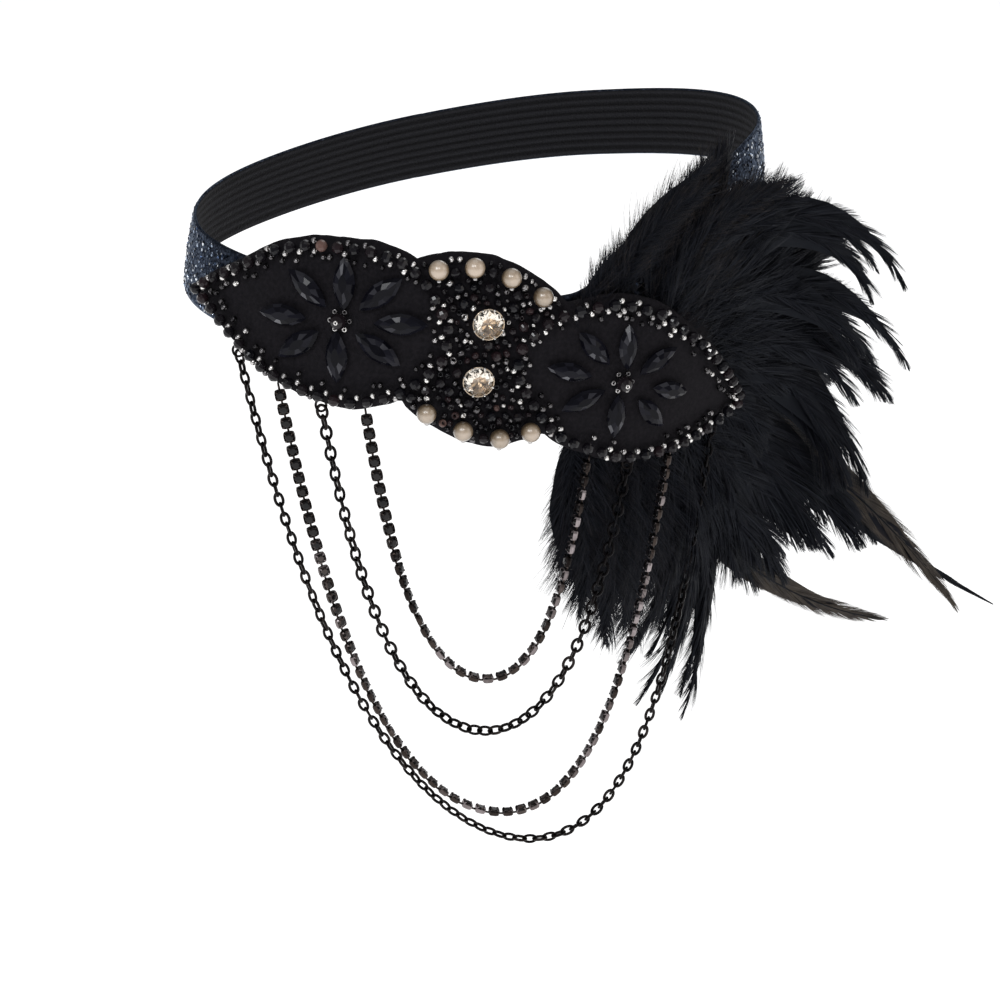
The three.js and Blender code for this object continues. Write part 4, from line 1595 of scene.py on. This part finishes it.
@dataclass
class CupChain(SwagChain):
    """A chain of square cups, each holding a small dark stone.

    The wall, the stone and the claw are given as shares of the cup's half width and depth.
    The claw's rows also give half its width.
    """

    pitch: float = 4.5
    cup: float = 3.7
    depth: float = 2.2
    wall: Pairs = (
        (0.55, -0.5), (0.78, -0.5), (0.94, -0.3), (0.96, 0.18), (0.82, 0.2), (0.7, -0.1), (0.5, -0.2)
    )
    wall_sides: int = 16
    squareness: float = 5.0
    stone: Pairs = ((0.3, -0.42), (0.83, 0.1), (0.83, 0.17), (0.72, 0.32), (0.46, 0.42))
    stone_sides: int = 8
    claw: tuple[Floats, ...] = (
        (0.98, 0.0, 0.26), (1.0, 0.2, 0.24), (0.9, 0.36, 0.2), (0.72, 0.4, 0.12)
    )
    claw_thickness: float = 0.24
    claw_reach: float = 1.12
    # Painted glints: how much lighter each claw's tone is than its cup's.
    claw_painted_glint: float = 0.4
    bar_share: float = 0.72
    bar_sink: float = 0.34
    bar_shade: float = 0.5
    face_turn: float = 1.45
    turn_starts: Pair = (0.1, 0.4)
    turn_ends: Pair = (0.78, 0.99)
    turn_back: float = 0.06
    turn_scatter: float = 0.09
    browning: Pair = (0.13, 0.2)
    cup_shades: Pair = (0.15, 0.85)
    unbrowned: float = 0.15
    # Painted glints: random tones that scatter the cups lighter and darker near the chain's far end, over
    # the feathers.
    painted_glint_shades: Pair = (0.5, 0.7)
    painted_glint_middle: float = 0.35
    painted_glint_span: Pair = (0.7, 0.85)
    # Painted reflections on the stones' facets, and painted shade towards the chain's far end, among the
    # feathers.
    painted_stone_reflections: Pair = (1.2, 1.6)
    stone_dark: float = 0.35
    stone_lighter: float = 0.75
    stone_painted_shade: Pair = (0.6, 0.8)

    def sized(self, profile: Sequence[Pair]) -> list[Pair]:
        """Scale a profile of shares to the cup."""
        return [(self.cup / 2 * reach, self.depth * level) for reach, level in profile]

    def claw_shape(self) -> Shape:
        """Bend one claw over the stone's edge.

        Returns:
            The claw, on the cup's X side.
        """
        rings = []
        for reach, level, half in self.claw:
            far, z = self.cup / 2 * reach, self.depth * level
            near = far - self.claw_thickness
            rings.append([(far, -half, z), (far, half, z), (near, half, z), (near, -half, z)])
        return Shape(np.array(rings).reshape(-1, 3), tube_faces(len(rings), 4))

    def cups(self, point: Array, axes: Array, shade: Array) -> None:
        """Build the cups, their claws and the bars that join them.

        Args:
            point: The middle of each cup.
            axes: Each cup's own X, Y and Z.
            shade: Each cup's shade.
        """
        count = len(point)
        face = axes[:, 2]
        build = MeshBuild()
        cup = squared(turned(self.sized(self.wall), self.wall_sides, ring=True), self.squareness)
        build.copies(cup, point, axes, tone=shade, smooth=False)
        claw, size = self.claw_shape(), np.array([[self.claw_reach, 1.0, 1.0]])
        for quarter in range(4):
            spin = np.full(count, math.pi / 4 + quarter * math.pi / 2)
            corner = axes_turned(axes, face, spin)
            # Painted glints: the claws take a lighter tone than their cup.
            build.copies(claw, point, corner, size, shade + self.claw_painted_glint, smooth=False)
        middle, along, side = self.swag.line(np.arange(count + 1) * self.swag.length / count)
        ends = np.concatenate([face[:1], face, face[-1:]])
        behind = -unit(ends[:-1] + ends[1:]) * self.depth * self.bar_sink
        bar_axes = np.stack([np.cross(along, side), -side, along], -2)
        size = np.array([[1.0, 1.0, self.pitch * self.bar_share]])
        build.copies(BAR, middle + behind, bar_axes, size, self.bar_shade)
        build.piece(self.name.replace("chain", "cups"), [BROWN_METAL], "gunmetal", [self.name])

    def build(self) -> None:
        """Hang the cups along the swag, turning to face outwards at the bottom."""
        rng = np.random.default_rng(self.seed)
        count = round(self.swag.length / self.pitch)
        distance = (np.arange(count) + 0.5) * self.swag.length / count
        point, tangent, out = self.swag.line(distance)
        share = distance / self.swag.length
        turn = self.face_turn * smoothstep(share, *self.turn_starts)
        turn = turn * (1.0 - self.turn_back * smoothstep(share, *self.turn_ends))
        turn = turn + rng.normal(0.0, self.turn_scatter, count)
        face = turned_about(out, tangent, -turn)
        axes = np.stack([tangent, np.cross(face, tangent), face], -2)
        brown = smoothstep(share, *self.browning)
        shade = rng.uniform(*self.cup_shades, count)
        shade = shade * (self.unbrowned + (1.0 - self.unbrowned) * brown)
        # Painted glints: towards the far end the cups' tones are scattered at random, and many are raised so
        # that they read as bright glints.
        painted_glint = rng.beta(*self.painted_glint_shades, count) - self.painted_glint_middle
        self.cups(point, axes, shade + painted_glint * smoothstep(share, *self.painted_glint_span))
        stones = MeshBuild()
        stone, facet = parted(turned(self.sized(self.stone), self.stone_sides))
        # Painted reflections: each stone's facets take random lighter tones, lighter still where the cups
        # turn brown; painted shade darkens them again towards the far end, among the feathers.
        light = rng.beta(*self.painted_stone_reflections, (count, facet[-1] + 1))[:, facet]
        fade = 1.0 - smoothstep(share, *self.stone_painted_shade)
        tone = light * (self.stone_dark + self.stone_lighter * brown * fade)[:, None]
        stones.copies(stone, point, axes, tone=tone, smooth=False)
        stones.piece(self.name.replace("chain", "stones"), [SMOKE_STONE], "jet_stone")


@dataclass(frozen=True)
class BarbStyle:
    """How the barbs of one kind of feather lie."""

    pitch: float
    barb: float
    open_root: float
    open_tip: float
    spread: float
    tuft: float
    pull: float
    camber: float
    fluff_end: float
    fluff: float
    # Painted light: the tone that the barbs reach at their tips, standing in for light shining through them.
    painted_tip_light: float
    core: float
    ragged: float
    point: float
    core_tone: float = 0.1
    segments: int = 4


class Plumage(Enum):
    """The kinds of feather in the plume, and how the barbs of each lie."""

    VANE = BarbStyle(
        pitch=0.29, barb=0.28, open_root=34, open_tip=5, spread=1.05, tuft=5, pull=0.14, camber=0.16,
        fluff_end=0.4, fluff=0.25, painted_tip_light=0.4, core=0.84, ragged=0.38, point=0.6,
    )
    SOFT = BarbStyle(
        pitch=0.205, barb=0.14, open_root=60, open_tip=34, spread=0.85, tuft=3, pull=0.2, camber=0.1,
        fluff_end=0.95, fluff=0.5, painted_tip_light=0.86, core=0.36, ragged=1.8, point=0.0,
    )
    FLUFF = BarbStyle(
        pitch=0.25, barb=0.21, open_root=56, open_tip=26, spread=1.05, tuft=4, pull=0.25, camber=0.12,
        fluff_end=0.95, fluff=0.5, painted_tip_light=0.7, core=0.68, ragged=1.2, point=0.0,
    )
    INNER = BarbStyle(
        pitch=0.34, barb=0.3, open_root=46, open_tip=9, spread=1.1, tuft=6, pull=0.25, camber=0.16,
        fluff_end=0.7, fluff=0.35, painted_tip_light=0.4, core=0.74, ragged=0.8, point=0.2, segments=3,
    )
    # Painted light: the hackles' high core tone gives their web and barbs a light grey-brown that stands in
    # for light seen through the sparse barbs.
    HACKLE = BarbStyle(
        pitch=0.3, barb=0.22, open_root=34, open_tip=12, spread=1.0, tuft=40, pull=0.0, camber=0.06,
        fluff_end=0.1, fluff=0.1, painted_tip_light=0.9, core=0.8, core_tone=0.95, ragged=0.08, point=0.1, segments=3,
    )


@dataclass(frozen=True)
class FeatherRow:
    """One feather: its root, its heading and curl in degrees, and its size."""

    girth: float
    height: float
    heading: float
    curl: float
    length: float
    width: float
    lift: float
    kind: Plumage = Plumage.VANE
    layer: float = 1.0
    shade: float = 1.0


class Quill:
    """The curved middle line of one feather."""

    grain = 24
    opens = 0.6
    pad_rest = 1.5

    def __init__(self, row: FeatherRow) -> None:
        """Follow the feather from its root to its tip.

        Args:
            row: The feather.
        """
        _, out, up, back = HEAD.axes(row.girth, row.height)
        share = np.arange(self.grain + 1) / self.grain
        yaw = np.radians(row.heading + row.curl * share)[:, None]
        pitch = np.radians(row.lift * np.minimum(1.0, share / self.opens) ** 2)[:, None]
        flat = back * np.cos(yaw) + up * np.sin(yaw)
        self.along = flat * np.cos(pitch) + out * np.sin(pitch)
        self.face = out * np.cos(pitch) - flat * np.sin(pitch)
        root = HEAD.point(row.girth, row.height, self.pad_rest + row.layer)
        step = np.concatenate([np.zeros((1, 3)), np.cumsum(self.along[:-1], 0)])
        self.points = root + step * row.length / self.grain
        self.share = share

    def at(self, share: Array) -> tuple[Array, ...]:
        """Read the middle line.

        Args:
            share: Shares of the length.

        Returns:
            The point, direction, side and face at each share.
        """

        def read(values: Array) -> Array:
            """Read one set of vectors."""
            return np.stack([np.interp(share, self.share, values[:, i]) for i in range(3)], -1)

        along, face = unit(read(self.along)), unit(read(self.face))
        return read(self.points), along, np.cross(face, along), face


@dataclass
class Feather:
    """The shaft, web and barbs of one feather, added to a piece."""

    row: FeatherRow
    build: MeshBuild
    rng: Draws
    outline_along: Floats = (0, 0.25, 0.5, 0.75, 1)
    outline_width: Floats = (0.3, 0.8, 1, 0.8, 0.1)
    point_from: float = 0.55
    head_gap: float = 1.4
    shaft: float = 0.9
    hackle_shaft: float = 1.6
    shaft_taper: float = 0.85
    shaft_full: float = 9.0
    shaft_steps: int = 25
    shaft_sides: int = 5
    shaft_tone: float = 0.05
    web_start: float = 0.02
    web_steps: int = 17
    web_lag: float = 0.13
    web_close: int = 5
    web_sink: float = 0.2
    web_camber: float = 0.16
    web_darker: float = 0.08
    web_middle: float = 0.1
    barb_span: Pair = (0.03, 0.995)
    barb_scatter: float = 0.2
    tuft_opening: float = 0.09
    barb_opening: float = 0.03
    opening_span: Pair = (0.05, 1.3)
    longest: float = 1.25
    barb_reach: Pair = (-0.15, 0.1)
    tuft_reach: Pair = (-0.22, 0.15)
    past_tip: float = 0.3
    straighten: float = 0.5
    loose_until: float = 0.4
    tuft_slant: float = 0.10
    barb_slant: float = 0.04
    loose_slant: float = 0.9
    loose_wave: float = 0.12
    wave_turn: float = 5.0
    barb_roll: float = 0.45
    barb_taper: float = 0.85
    taper_power: float = 1.6
    root_tones: Pair = (0.0, 0.55)
    core_mix: float = 0.9
    tip_from: float = 0.35

    def __post_init__(self) -> None:
        """Look up the feather's style and follow its middle line."""
        self.style = self.row.kind.value
        self.quill = Quill(self.row)

    def half_width(self, share: Array) -> Array:
        """Give half the feather's width along its length.

        Args:
            share: Shares of the length.

        Returns:
            Half the width at each share.
        """
        outline = Profile(self.outline_along, self.outline_width)
        narrow = 1.0 - self.style.point * smoothstep(share, self.point_from, 1.0)
        return self.row.width / 2 * outline.at(share) * narrow

    def add(self) -> None:
        """Add the whole feather."""
        self.add_shaft()
        self.add_web()
        for hand in (-1.0, 1.0):
            self.add_barbs(hand)

    def add_shaft(self) -> None:
        """Add the tapered shaft."""
        row = self.row
        share = np.linspace(0.0, 1.0, self.shaft_steps)
        point, _, side, face = self.quill.at(share)
        size = self.hackle_shaft if row.kind is Plumage.HACKLE else self.shaft
        radius = size / 2 * (1.0 - self.shaft_taper * share) * min(1.0, row.width / self.shaft_full)
        angle = np.arange(self.shaft_sides) * TURN / self.shaft_sides
        ring = side[:, None] * np.cos(angle)[None, :, None] + face[:, None] * np.sin(angle)[None, :, None]
        points = (point[:, None] + ring * radius[:, None, None]).reshape(-1, 3)
        self.build.add(points, tube_faces(self.shaft_steps, self.shaft_sides), self.shaft_tone)

    def add_web(self) -> None:
        """Add the close web next to the shaft, under the barbs."""
        row, style = self.row, self.style
        share = np.linspace(self.web_start, 1.0, self.web_steps)
        point, _, side, face = self.quill.at(share)
        lag = self.web_lag if row.kind is Plumage.FLUFF else 0.0
        behind = self.half_width(np.maximum(share - lag, 0.0))
        half = np.minimum(self.half_width(share), behind) * style.core * (1.0 - share**self.web_close)
        across = np.array([-1.0, 0.0, 1.0])
        points = point[:, None] + side[:, None] * (half[:, None] * across)[..., None]
        sink = self.web_sink + self.web_camber * half[:, None] * across**2
        points = points - face[:, None] * sink[..., None]
        points = HEAD.clear(points.reshape(-1, 3), self.head_gap)
        tones = [style.core_tone - self.web_darker, self.web_middle, style.core_tone]
        faces = rings_joined(self.web_steps, len(across), False, False)
        self.build.add(points, [faces], np.tile(tones, self.web_steps) * row.shade)

    def add_barbs(self, hand: float) -> None:
        """Add the barbs on one side.

        Args:
            hand: The side, -1 or 1.
        """
        row, style, rng = self.row, self.style, self.rng
        rough = style.ragged
        count = int(row.length / style.pitch)
        t = np.linspace(0.0, 1.0, style.segments + 1)
        share = np.linspace(*self.barb_span, count) + rng.normal(0.0, self.barb_scatter / count, count)
        point, along, side, face = self.quill.at(share)
        tuft = np.cumsum(rng.random(count) < 1.0 / style.tuft)
        tufts = int(tuft[-1]) + 1
        opening = np.radians(style.open_root + (style.open_tip - style.open_root) * share)
        opening = opening + rough * rng.normal(0.0, self.tuft_opening, tufts)[tuft]
        opening = np.clip(opening + rough * rng.normal(0.0, self.barb_opening, count), *self.opening_span)
        reach = self.half_width(share) * style.spread / np.sin(opening)
        reach = np.minimum(reach, self.longest * row.width)
        reach = reach * (1.0 + rough * rng.uniform(*self.barb_reach, count))
        reach = reach * (1.0 + rough * rng.uniform(*self.tuft_reach, tufts)[tuft])
        ahead = (1.0 - share) * row.length + self.past_tip * (1.0 - style.point) * row.width
        reach = np.minimum(reach, ahead / np.cos(opening))
        bend = opening[:, None] * (1.0 - self.straighten * t)
        step = (reach / style.segments)[:, None]
        forward = np.cumsum(np.cos(bend), 1) * step
        sideways = np.cumsum(np.sin(bend), 1) * step
        forward, sideways = forward - forward[:, :1], sideways - sideways[:, :1]
        settled = smoothstep(share, style.fluff_end * self.loose_until, style.fluff_end)
        loose = style.fluff * (1.0 - settled)
        slant = rng.normal(0.0, self.tuft_slant, tufts)[tuft] + rng.normal(0.0, self.barb_slant, count)
        slant = slant + loose * rng.normal(0.0, self.loose_slant, count)
        wave = loose * self.loose_wave * rng.normal(0.0, 1.0, count)
        rise = reach[:, None] * (slant[:, None] * t - style.camber * t * t)
        rise = rise + (reach * wave)[:, None] * np.sin(t * self.wave_turn)
        curve = point[:, None] + along[:, None] * forward[..., None]
        curve = curve + side[:, None] * (hand * sideways)[..., None] + face[:, None] * rise[..., None]
        total = np.zeros((tufts, len(t), 3))
        np.add.at(total, tuft, curve)
        mean = (total / np.bincount(tuft, minlength=tufts)[:, None, None])[tuft]
        curve = curve + (style.pull * t**2)[None, :, None] * (mean - curve)
        self.add_ribbons(curve, face)

    def add_ribbons(self, curve: Array, face: Array) -> None:
        """Turn barb lines into thin tapered ribbons.

        Args:
            curve: The points of each barb.
            face: The feather's face at each barb.
        """
        style, rng = self.style, self.rng
        count, steps, _ = curve.shape
        curve = HEAD.clear(curve.reshape(-1, 3), self.head_gap).reshape(curve.shape)
        direction = unit(np.gradient(curve, axis=1))
        flat = unit(np.cross(np.broadcast_to(face[:, None], curve.shape), direction))
        roll = np.broadcast_to(rng.normal(0.0, self.barb_roll, count)[:, None], (count, steps))
        flat = turned_about(flat, direction, roll)
        t = np.linspace(0.0, 1.0, steps)
        width = style.barb / 2 * (1.0 - self.barb_taper * t**self.taper_power)
        points = np.stack([curve - flat * width[:, None], curve + flat * width[:, None]], 2)
        start = np.arange(count)[:, None] * steps * 2
        k = np.arange(steps - 1)[None] * 2
        corners = [start + k, start + k + 1, start + k + 3, start + k + 2]
        faces = np.stack(corners, -1).reshape(-1, 4)
        base = rng.uniform(*self.root_tones, count) * (1.0 - style.core_tone)
        base = base + self.core_mix * style.core_tone
        # Painted light: the barbs' tone rises towards their tips, standing in for light shining through the
        # thin barbs.
        tone = base[:, None] + (style.painted_tip_light - base)[:, None] * smoothstep(t, self.tip_from, 1.0)
        tone = self.row.shade * np.repeat(tone, 2, axis=1).ravel()
        self.build.add(points.reshape(-1, 3), [faces], tone)


@dataclass(frozen=True)
class Tier:
    """One tier of feathers over the outer ones, from its first heading to its last."""

    count: int
    share: float
    width: float
    first: float
    last: float
    lift: float
    layer: float


@dataclass
class Plume:
    """The feathers, sewn to a pad behind the right leaf."""

    pad_girth: float = 39.0
    pad_height: float = -39.0
    pad_reach: float = 27.0
    pad_rise: float = 19.0
    pad_share: float = 0.94
    pad_rings: Pairs = ((0.5, 1.5), (0.98, 1.5), (1.0, 2.4), (0.96, 3.4), (0.5, 3.5))
    pad_steps: int = 48
    seed: int = 71

    upper: tuple[FeatherRow, ...] = (
        FeatherRow(18, -28, 90, -66, 69, 18, 7, Plumage.SOFT),
        FeatherRow(32, -26, 82, -85, 72, 17, 10, Plumage.SOFT),
        FeatherRow(33, -27, 76, -82, 68, 18, 10, Plumage.INNER),
        FeatherRow(37, -38, 84, -30, 52, 18, 3, Plumage.INNER),
        FeatherRow(40, -26, 65, -134, 113, 13, 14),
        FeatherRow(46, -29, 30, -95, 107, 13, 18),
        FeatherRow(52, -34, 11, -67, 96, 15, 22),
        FeatherRow(54, -38, 4, -92, 103, 17, 28),
    )
    middle: tuple[FeatherRow, ...] = (
        FeatherRow(58, -40, -45, 13, 190, 6, 25, Plumage.HACKLE, shade=0.35),
        FeatherRow(56, -47, -22, -42, 152, 17, 38, Plumage.HACKLE),
        FeatherRow(57, -47, -22, -38, 116, 16, 26),
        FeatherRow(54, -50, -24, -36, 106, 16, 28),
        FeatherRow(52, -52, -32, -24, 98, 16, 26),
        FeatherRow(53, -56, -70, 58, 146, 13, 24, Plumage.HACKLE),
        FeatherRow(40, -49, -36, -15, 97, 17, 8, Plumage.INNER),
        FeatherRow(49, -56, -39, -24, 90, 18, 20, Plumage.INNER),
    )
    lower: tuple[FeatherRow, ...] = (
        FeatherRow(52, -56, -57, 4, 91, 18, 12, Plumage.INNER),
        FeatherRow(43, -47, -51, -51, 139, 14, 0),
        FeatherRow(36, -54, -38, -88, 125, 13, 0),
        FeatherRow(46, -57, -40, -66, 103, 18, 0, Plumage.INNER),
        FeatherRow(39, -55, -60, -32, 88, 20, 0, Plumage.FLUFF),
        FeatherRow(33, -54, -70, -24, 90, 22, 0, Plumage.FLUFF),
        FeatherRow(27, -53, -83, -5, 83, 22, 0, Plumage.FLUFF),
        FeatherRow(21, -50, -93, 6, 72, 20, 0, Plumage.FLUFF),
        FeatherRow(14, -50, -91, 6, 56, 17, 0, Plumage.FLUFF),
    )
    companions: int = 3
    beside_root: float = 1.2
    beside_heading: float = 2.4
    beside_curl: float = 3.5
    beside_length: Pair = (0.78, 0.96)
    beside_lift: float = 2.0

    tiers: tuple[Tier, ...] = (
        Tier(count=10, share=0.92, width=24, first=-98, last=72, lift=6, layer=0.8),
        Tier(count=9, share=0.7, width=22, first=-88, last=80, lift=14, layer=1.3),
        Tier(count=7, share=0.5, width=20, first=-70, last=84, lift=22, layer=1.4),
    )
    tier_root: float = 0.75
    tier_repeat: int = 4
    tier_scatter: float = 2.5
    tier_opens: float = -60.0
    tier_curl: float = -26.0
    open_curl: float = 7.0
    closed_curl: float = 5.0
    tier_length: Pair = (0.86, 1.02)
    tier_width: Pair = (0.8, 1.0)
    tier_lift: float = 2.5
    soft_above: float = 66.0
    fluff_below: float = -76.0
    reach_heading: Floats = (-100, -60, -20, 25, 60, 90)
    reach_length: Floats = (70, 92, 90, 78, 58, 44)

    edge_span: Pair = (15.0, 64.0)
    edge_count: int = 22
    edge_heading: float = 92.0
    edge_scatter: float = 10.0
    edge_lean: float = 10.0
    edge_curl: float = -20.0
    edge_length: Pair = (20.0, 30.0)
    edge_width: float = 11.0
    edge_lift: float = 4.0
    edge_layer: float = 2.0
    edge_at: Floats = (15.0, 35.0, 50.0, 64.0)
    edge_over: Floats = (5.0, 7.0, 9.0, 8.0)

    def tier_kind(self, heading: float) -> Plumage:
        """Choose soft feathers at the top of a tier and fluffy ones at its foot.

        Args:
            heading: The feather's heading in degrees.

        Returns:
            The kind of feather.
        """
        if heading > self.soft_above:
            return Plumage.SOFT
        return Plumage.FLUFF if heading < self.fluff_below else Plumage.INNER

    def tier_rows(self, tier: Tier, rng: Draws) -> list[FeatherRow]:
        """List the feathers of one tier.

        Args:
            tier: The tier.
            rng: The seeded draws.

        Returns:
            The feathers, from the lowest heading to the highest.
        """
        reach = Profile(self.reach_heading, self.reach_length)
        rows = []
        for heading in np.linspace(tier.first, tier.last, tier.count * self.tier_repeat):
            heading = heading + rng.normal(0.0, self.tier_scatter)
            opens = heading > self.tier_opens
            angle = math.radians(heading)
            girth = self.pad_girth + self.tier_root * self.pad_reach * math.cos(angle)
            height = self.pad_height + self.tier_root * self.pad_rise * math.sin(angle)
            curl = rng.normal(0.0, self.open_curl if opens else self.closed_curl)
            curl = self.tier_curl + curl if opens else curl
            length = float(reach.at(heading)) * tier.share * rng.uniform(*self.tier_length)
            width = tier.width * rng.uniform(*self.tier_width)
            lift = max(0.0, tier.lift + rng.normal(0.0, self.tier_lift)) if opens else 0.0
            kind = self.tier_kind(heading)
            rows.append(FeatherRow(girth, height, heading, curl, length, width, lift, kind, tier.layer))
        return rows

    def edge_rows(self, rng: Draws) -> list[FeatherRow]:
        """List the short down that stands along the loop's upper edge.

        Args:
            rng: The seeded draws.

        Returns:
            The feathers, from front to back.
        """
        loop = ElasticLoop()
        rows = []
        for number, girth in enumerate(np.linspace(*self.edge_span, self.edge_count)):
            top = float(loop.place(np.array(girth), np.array(1.0)))
            top += float(np.interp(girth, self.edge_at, self.edge_over))
            heading = self.edge_heading + rng.normal(0.0, self.edge_scatter)
            length = rng.uniform(*self.edge_length)
            angle = math.radians(heading - self.edge_lean)
            root = (girth - length * math.cos(angle), top - length * math.sin(angle))
            kind = Plumage.FLUFF if number % 2 else Plumage.SOFT
            size = (length, self.edge_width, self.edge_lift)
            rows.append(FeatherRow(*root, heading, self.edge_curl, *size, kind, self.edge_layer))
        return rows

    def with_companions(self, feathers: Sequence[FeatherRow], rng: Draws) -> list[FeatherRow]:
        """List some outer feathers, each but the hackles with shorter ones beside it.

        Args:
            feathers: The outer feathers.
            rng: The seeded draws.

        Returns:
            The feathers and their companions.
        """
        rows = []
        for row in feathers:
            rows.append(row)
            for _ in range(0 if row.kind is Plumage.HACKLE else self.companions):
                beside = replace(
                    row,
                    girth=row.girth + rng.normal(0.0, self.beside_root),
                    height=row.height + rng.normal(0.0, self.beside_root),
                    heading=row.heading + rng.normal(0.0, self.beside_heading),
                    curl=row.curl + rng.normal(0.0, self.beside_curl),
                    length=row.length * rng.uniform(*self.beside_length),
                    lift=max(0.0, row.lift + rng.normal(0.0, self.beside_lift)) if row.lift else 0.0,
                )
                rows.append(beside)
        return rows

    def feathers(
        self, name: str, rows: Sequence[FeatherRow], rng: Draws, replaces: Sequence[str] = ()
    ) -> None:
        """Build several feathers as one piece.

        Args:
            name: The piece's name.
            rows: The feathers.
            rng: The seeded draws.
            replaces: The solids that the piece stands for.
        """
        build = MeshBuild()
        for row in rows:
            Feather(row, build, rng).add()
        build.piece(name, [FEATHER], "feather", replaces)

    def pad(self) -> None:
        """Build the oval of felt that the feathers are sewn to."""
        angle = np.linspace(0.0, TURN, self.pad_steps + 1)[:-1]
        rings = []
        for size, offset in self.pad_rings:
            girth = self.pad_girth + self.pad_reach * self.pad_share * size * np.cos(angle)
            height = self.pad_height + self.pad_rise * size * np.sin(angle)
            rings.append(HEAD.point(girth, height, np.full(len(angle), offset)))
        build = MeshBuild()
        build.add(np.concatenate(rings), tube_faces(len(rings), self.pad_steps))
        piece = build.piece("plume_pad", [BLACK_FELT], "black_felt")

    def build(self) -> None:
        """Build the pad, the outer feathers and the tiers over them."""
        rng = np.random.default_rng(self.seed)
        self.pad()
        self.feathers("upper_feathers", self.with_companions(self.upper, rng), rng, ["feather_plume"])
        self.feathers("middle_feathers", self.with_companions(self.middle, rng), rng)
        self.feathers("lower_feathers", self.with_companions(self.lower, rng), rng)
        self.feathers("edge_down", self.edge_rows(rng), rng)
        for number, tier in enumerate(self.tiers, 1):
            self.feathers(f"tier_{number}_feathers", self.tier_rows(tier, rng), rng)


@dataclass(frozen=True)
class Lamp:
    """One soft box: where it stands, its side and power, and its colour."""

    name: str
    place: Colour
    side: float
    power: float
    colour: Colour = (1.0, 1.0, 1.0)


@dataclass
class Studio:
    """The floor, the lamps and the camera."""

    camera: Colour = (0.7454, -0.2334, 0.1975)
    target: Colour = (0.0351, -0.0027, -0.0892)
    lens: float = 89.86
    sensor: float = 36.0
    floor_height: float = -0.26
    floor_side: float = 80.0
    sky: float = 0.26
    sky_colour: Colour = (0.97, 0.98, 1.0)
    lit_point: Colour = (0.02, 0.02, -0.06)
    lamps: tuple[Lamp, ...] = (
        Lamp("key_lamp", (1.1, -1.1, 1.1), 0.4, 7.0, (0.96, 0.98, 1.0)),
        Lamp("fill_lamp", (1.0, 1.3, 0.7), 0.9, 3.0, (1.0, 0.94, 0.87)),
        Lamp("top_lamp", (-0.2, 0.1, 1.7), 1.4, 4.0),
        Lamp("glint_lamp", (1.2, -0.3, 0.9), 0.1, 2.6),
        Lamp("back_lamp", (-1.2, 0.9, 0.8), 0.8, 3.0),
    )

    @staticmethod
    def aimed(name: str, data: bpy.types.ID, place: Colour, target: Colour) -> bpy.types.Object:
        """Stand a camera or a lamp in the scene.

        Args:
            name: The object's name.
            data: The camera or lamp.
            place: Where it stands.
            target: What it looks at.

        Returns:
            The object.
        """
        holder = bpy.data.objects.new(name, data)
        holder.location = place
        aim = Vector(target) - Vector(place)
        holder.rotation_euler = aim.to_track_quat("-Z", "Y").to_euler()
        bpy.context.scene.collection.objects.link(holder)
        return holder

    def floor(self) -> None:
        """Lay the pale floor."""
        half = self.floor_side / 2
        mesh = bpy.data.meshes.new("floor")
        corners = [(-half, -half), (half, -half), (half, half), (-half, half)]
        mesh.from_pydata([(x, y, self.floor_height) for x, y in corners], [], [(0, 1, 2, 3)])
        mesh.materials.append(FLOOR.make())
        floor = bpy.data.objects.new("floor", mesh)
        bpy.context.scene.collection.objects.link(floor)

    def build(self) -> None:
        """Set up the floor, the lamps and the camera."""
        scene = bpy.context.scene
        scene.view_settings.view_transform = "Standard"
        data = bpy.data.cameras.new("camera")
        data.lens, data.sensor_width = self.lens, self.sensor
        scene.camera = self.aimed("camera", data, self.camera, self.target)
        for lamp in self.lamps:
            light = bpy.data.lights.new(lamp.name, "AREA")
            light.size, light.energy, light.color = lamp.side, lamp.power, lamp.colour
            self.aimed(lamp.name, light, lamp.place, self.lit_point)
        world = bpy.data.worlds.new("sky")
        world.use_nodes = True
        sky = world.node_tree.nodes["Background"]
        sky.inputs["Strength"].default_value = self.sky
        sky.inputs["Color"].default_value = (*self.sky_colour, 1.0)
        scene.world = world
        self.floor()


CRYSTALS = (
    CrystalStone("crystal_upper", girth=-20, height=-16.5),
    CrystalStone("crystal_lower", girth=-21, height=-33.5),
)
FLOWERS = (
    StoneFlower("left", -62, -16.7, slope=0.0, reach=17.5, rise=10.8, length=14.0, width=6.0),
    StoneFlower("right", 22, -37, slope=-0.28, reach=16.0, rise=10.5, length=12.5, width=5.4),
)
CHAINS = (
    CableChain("outer_cable_chain", Swag(-96, 66, drop=(2.0, 1.6), length=370, swing=16), 1, link_width=3.4),
    CupChain("outer_cup_chain", Swag(-80.5, 46.5, drop=(1.6, 1.0), length=312, swing=7.5), 2),
    CableChain("inner_cable_chain", Swag(-66.5, 31, drop=(1.4, 1.0), length=233, swing=2), 3),
    CupChain(
        "inner_cup_chain", Swag(-52.7, 17, drop=(1.4, 1.4), length=184, swing=2), 4, browning=(0.34, 0.46)
    ),
)


def main() -> None:
    """Build the headband, piece by piece."""
    logging.basicConfig(level=logging.INFO, format="%(name)s: %(message)s")
    Studio().build()
    pearls = PearlRows()
    ElasticLoop().build()
    FeltBacking().build()
    round_pearls = [(girth, height, pearls.size / 2) for girth, height in pearls.rows()]
    round_stones = [(stone.girth, stone.height, stone.size / 2) for stone in CRYSTALS]
    BeadField().build(np.array(round_pearls + round_stones))
    for group in (*FLOWERS, pearls, *CRYSTALS, *CHAINS, Plume()):
        group.build()


if __name__ == "__main__":
    main()
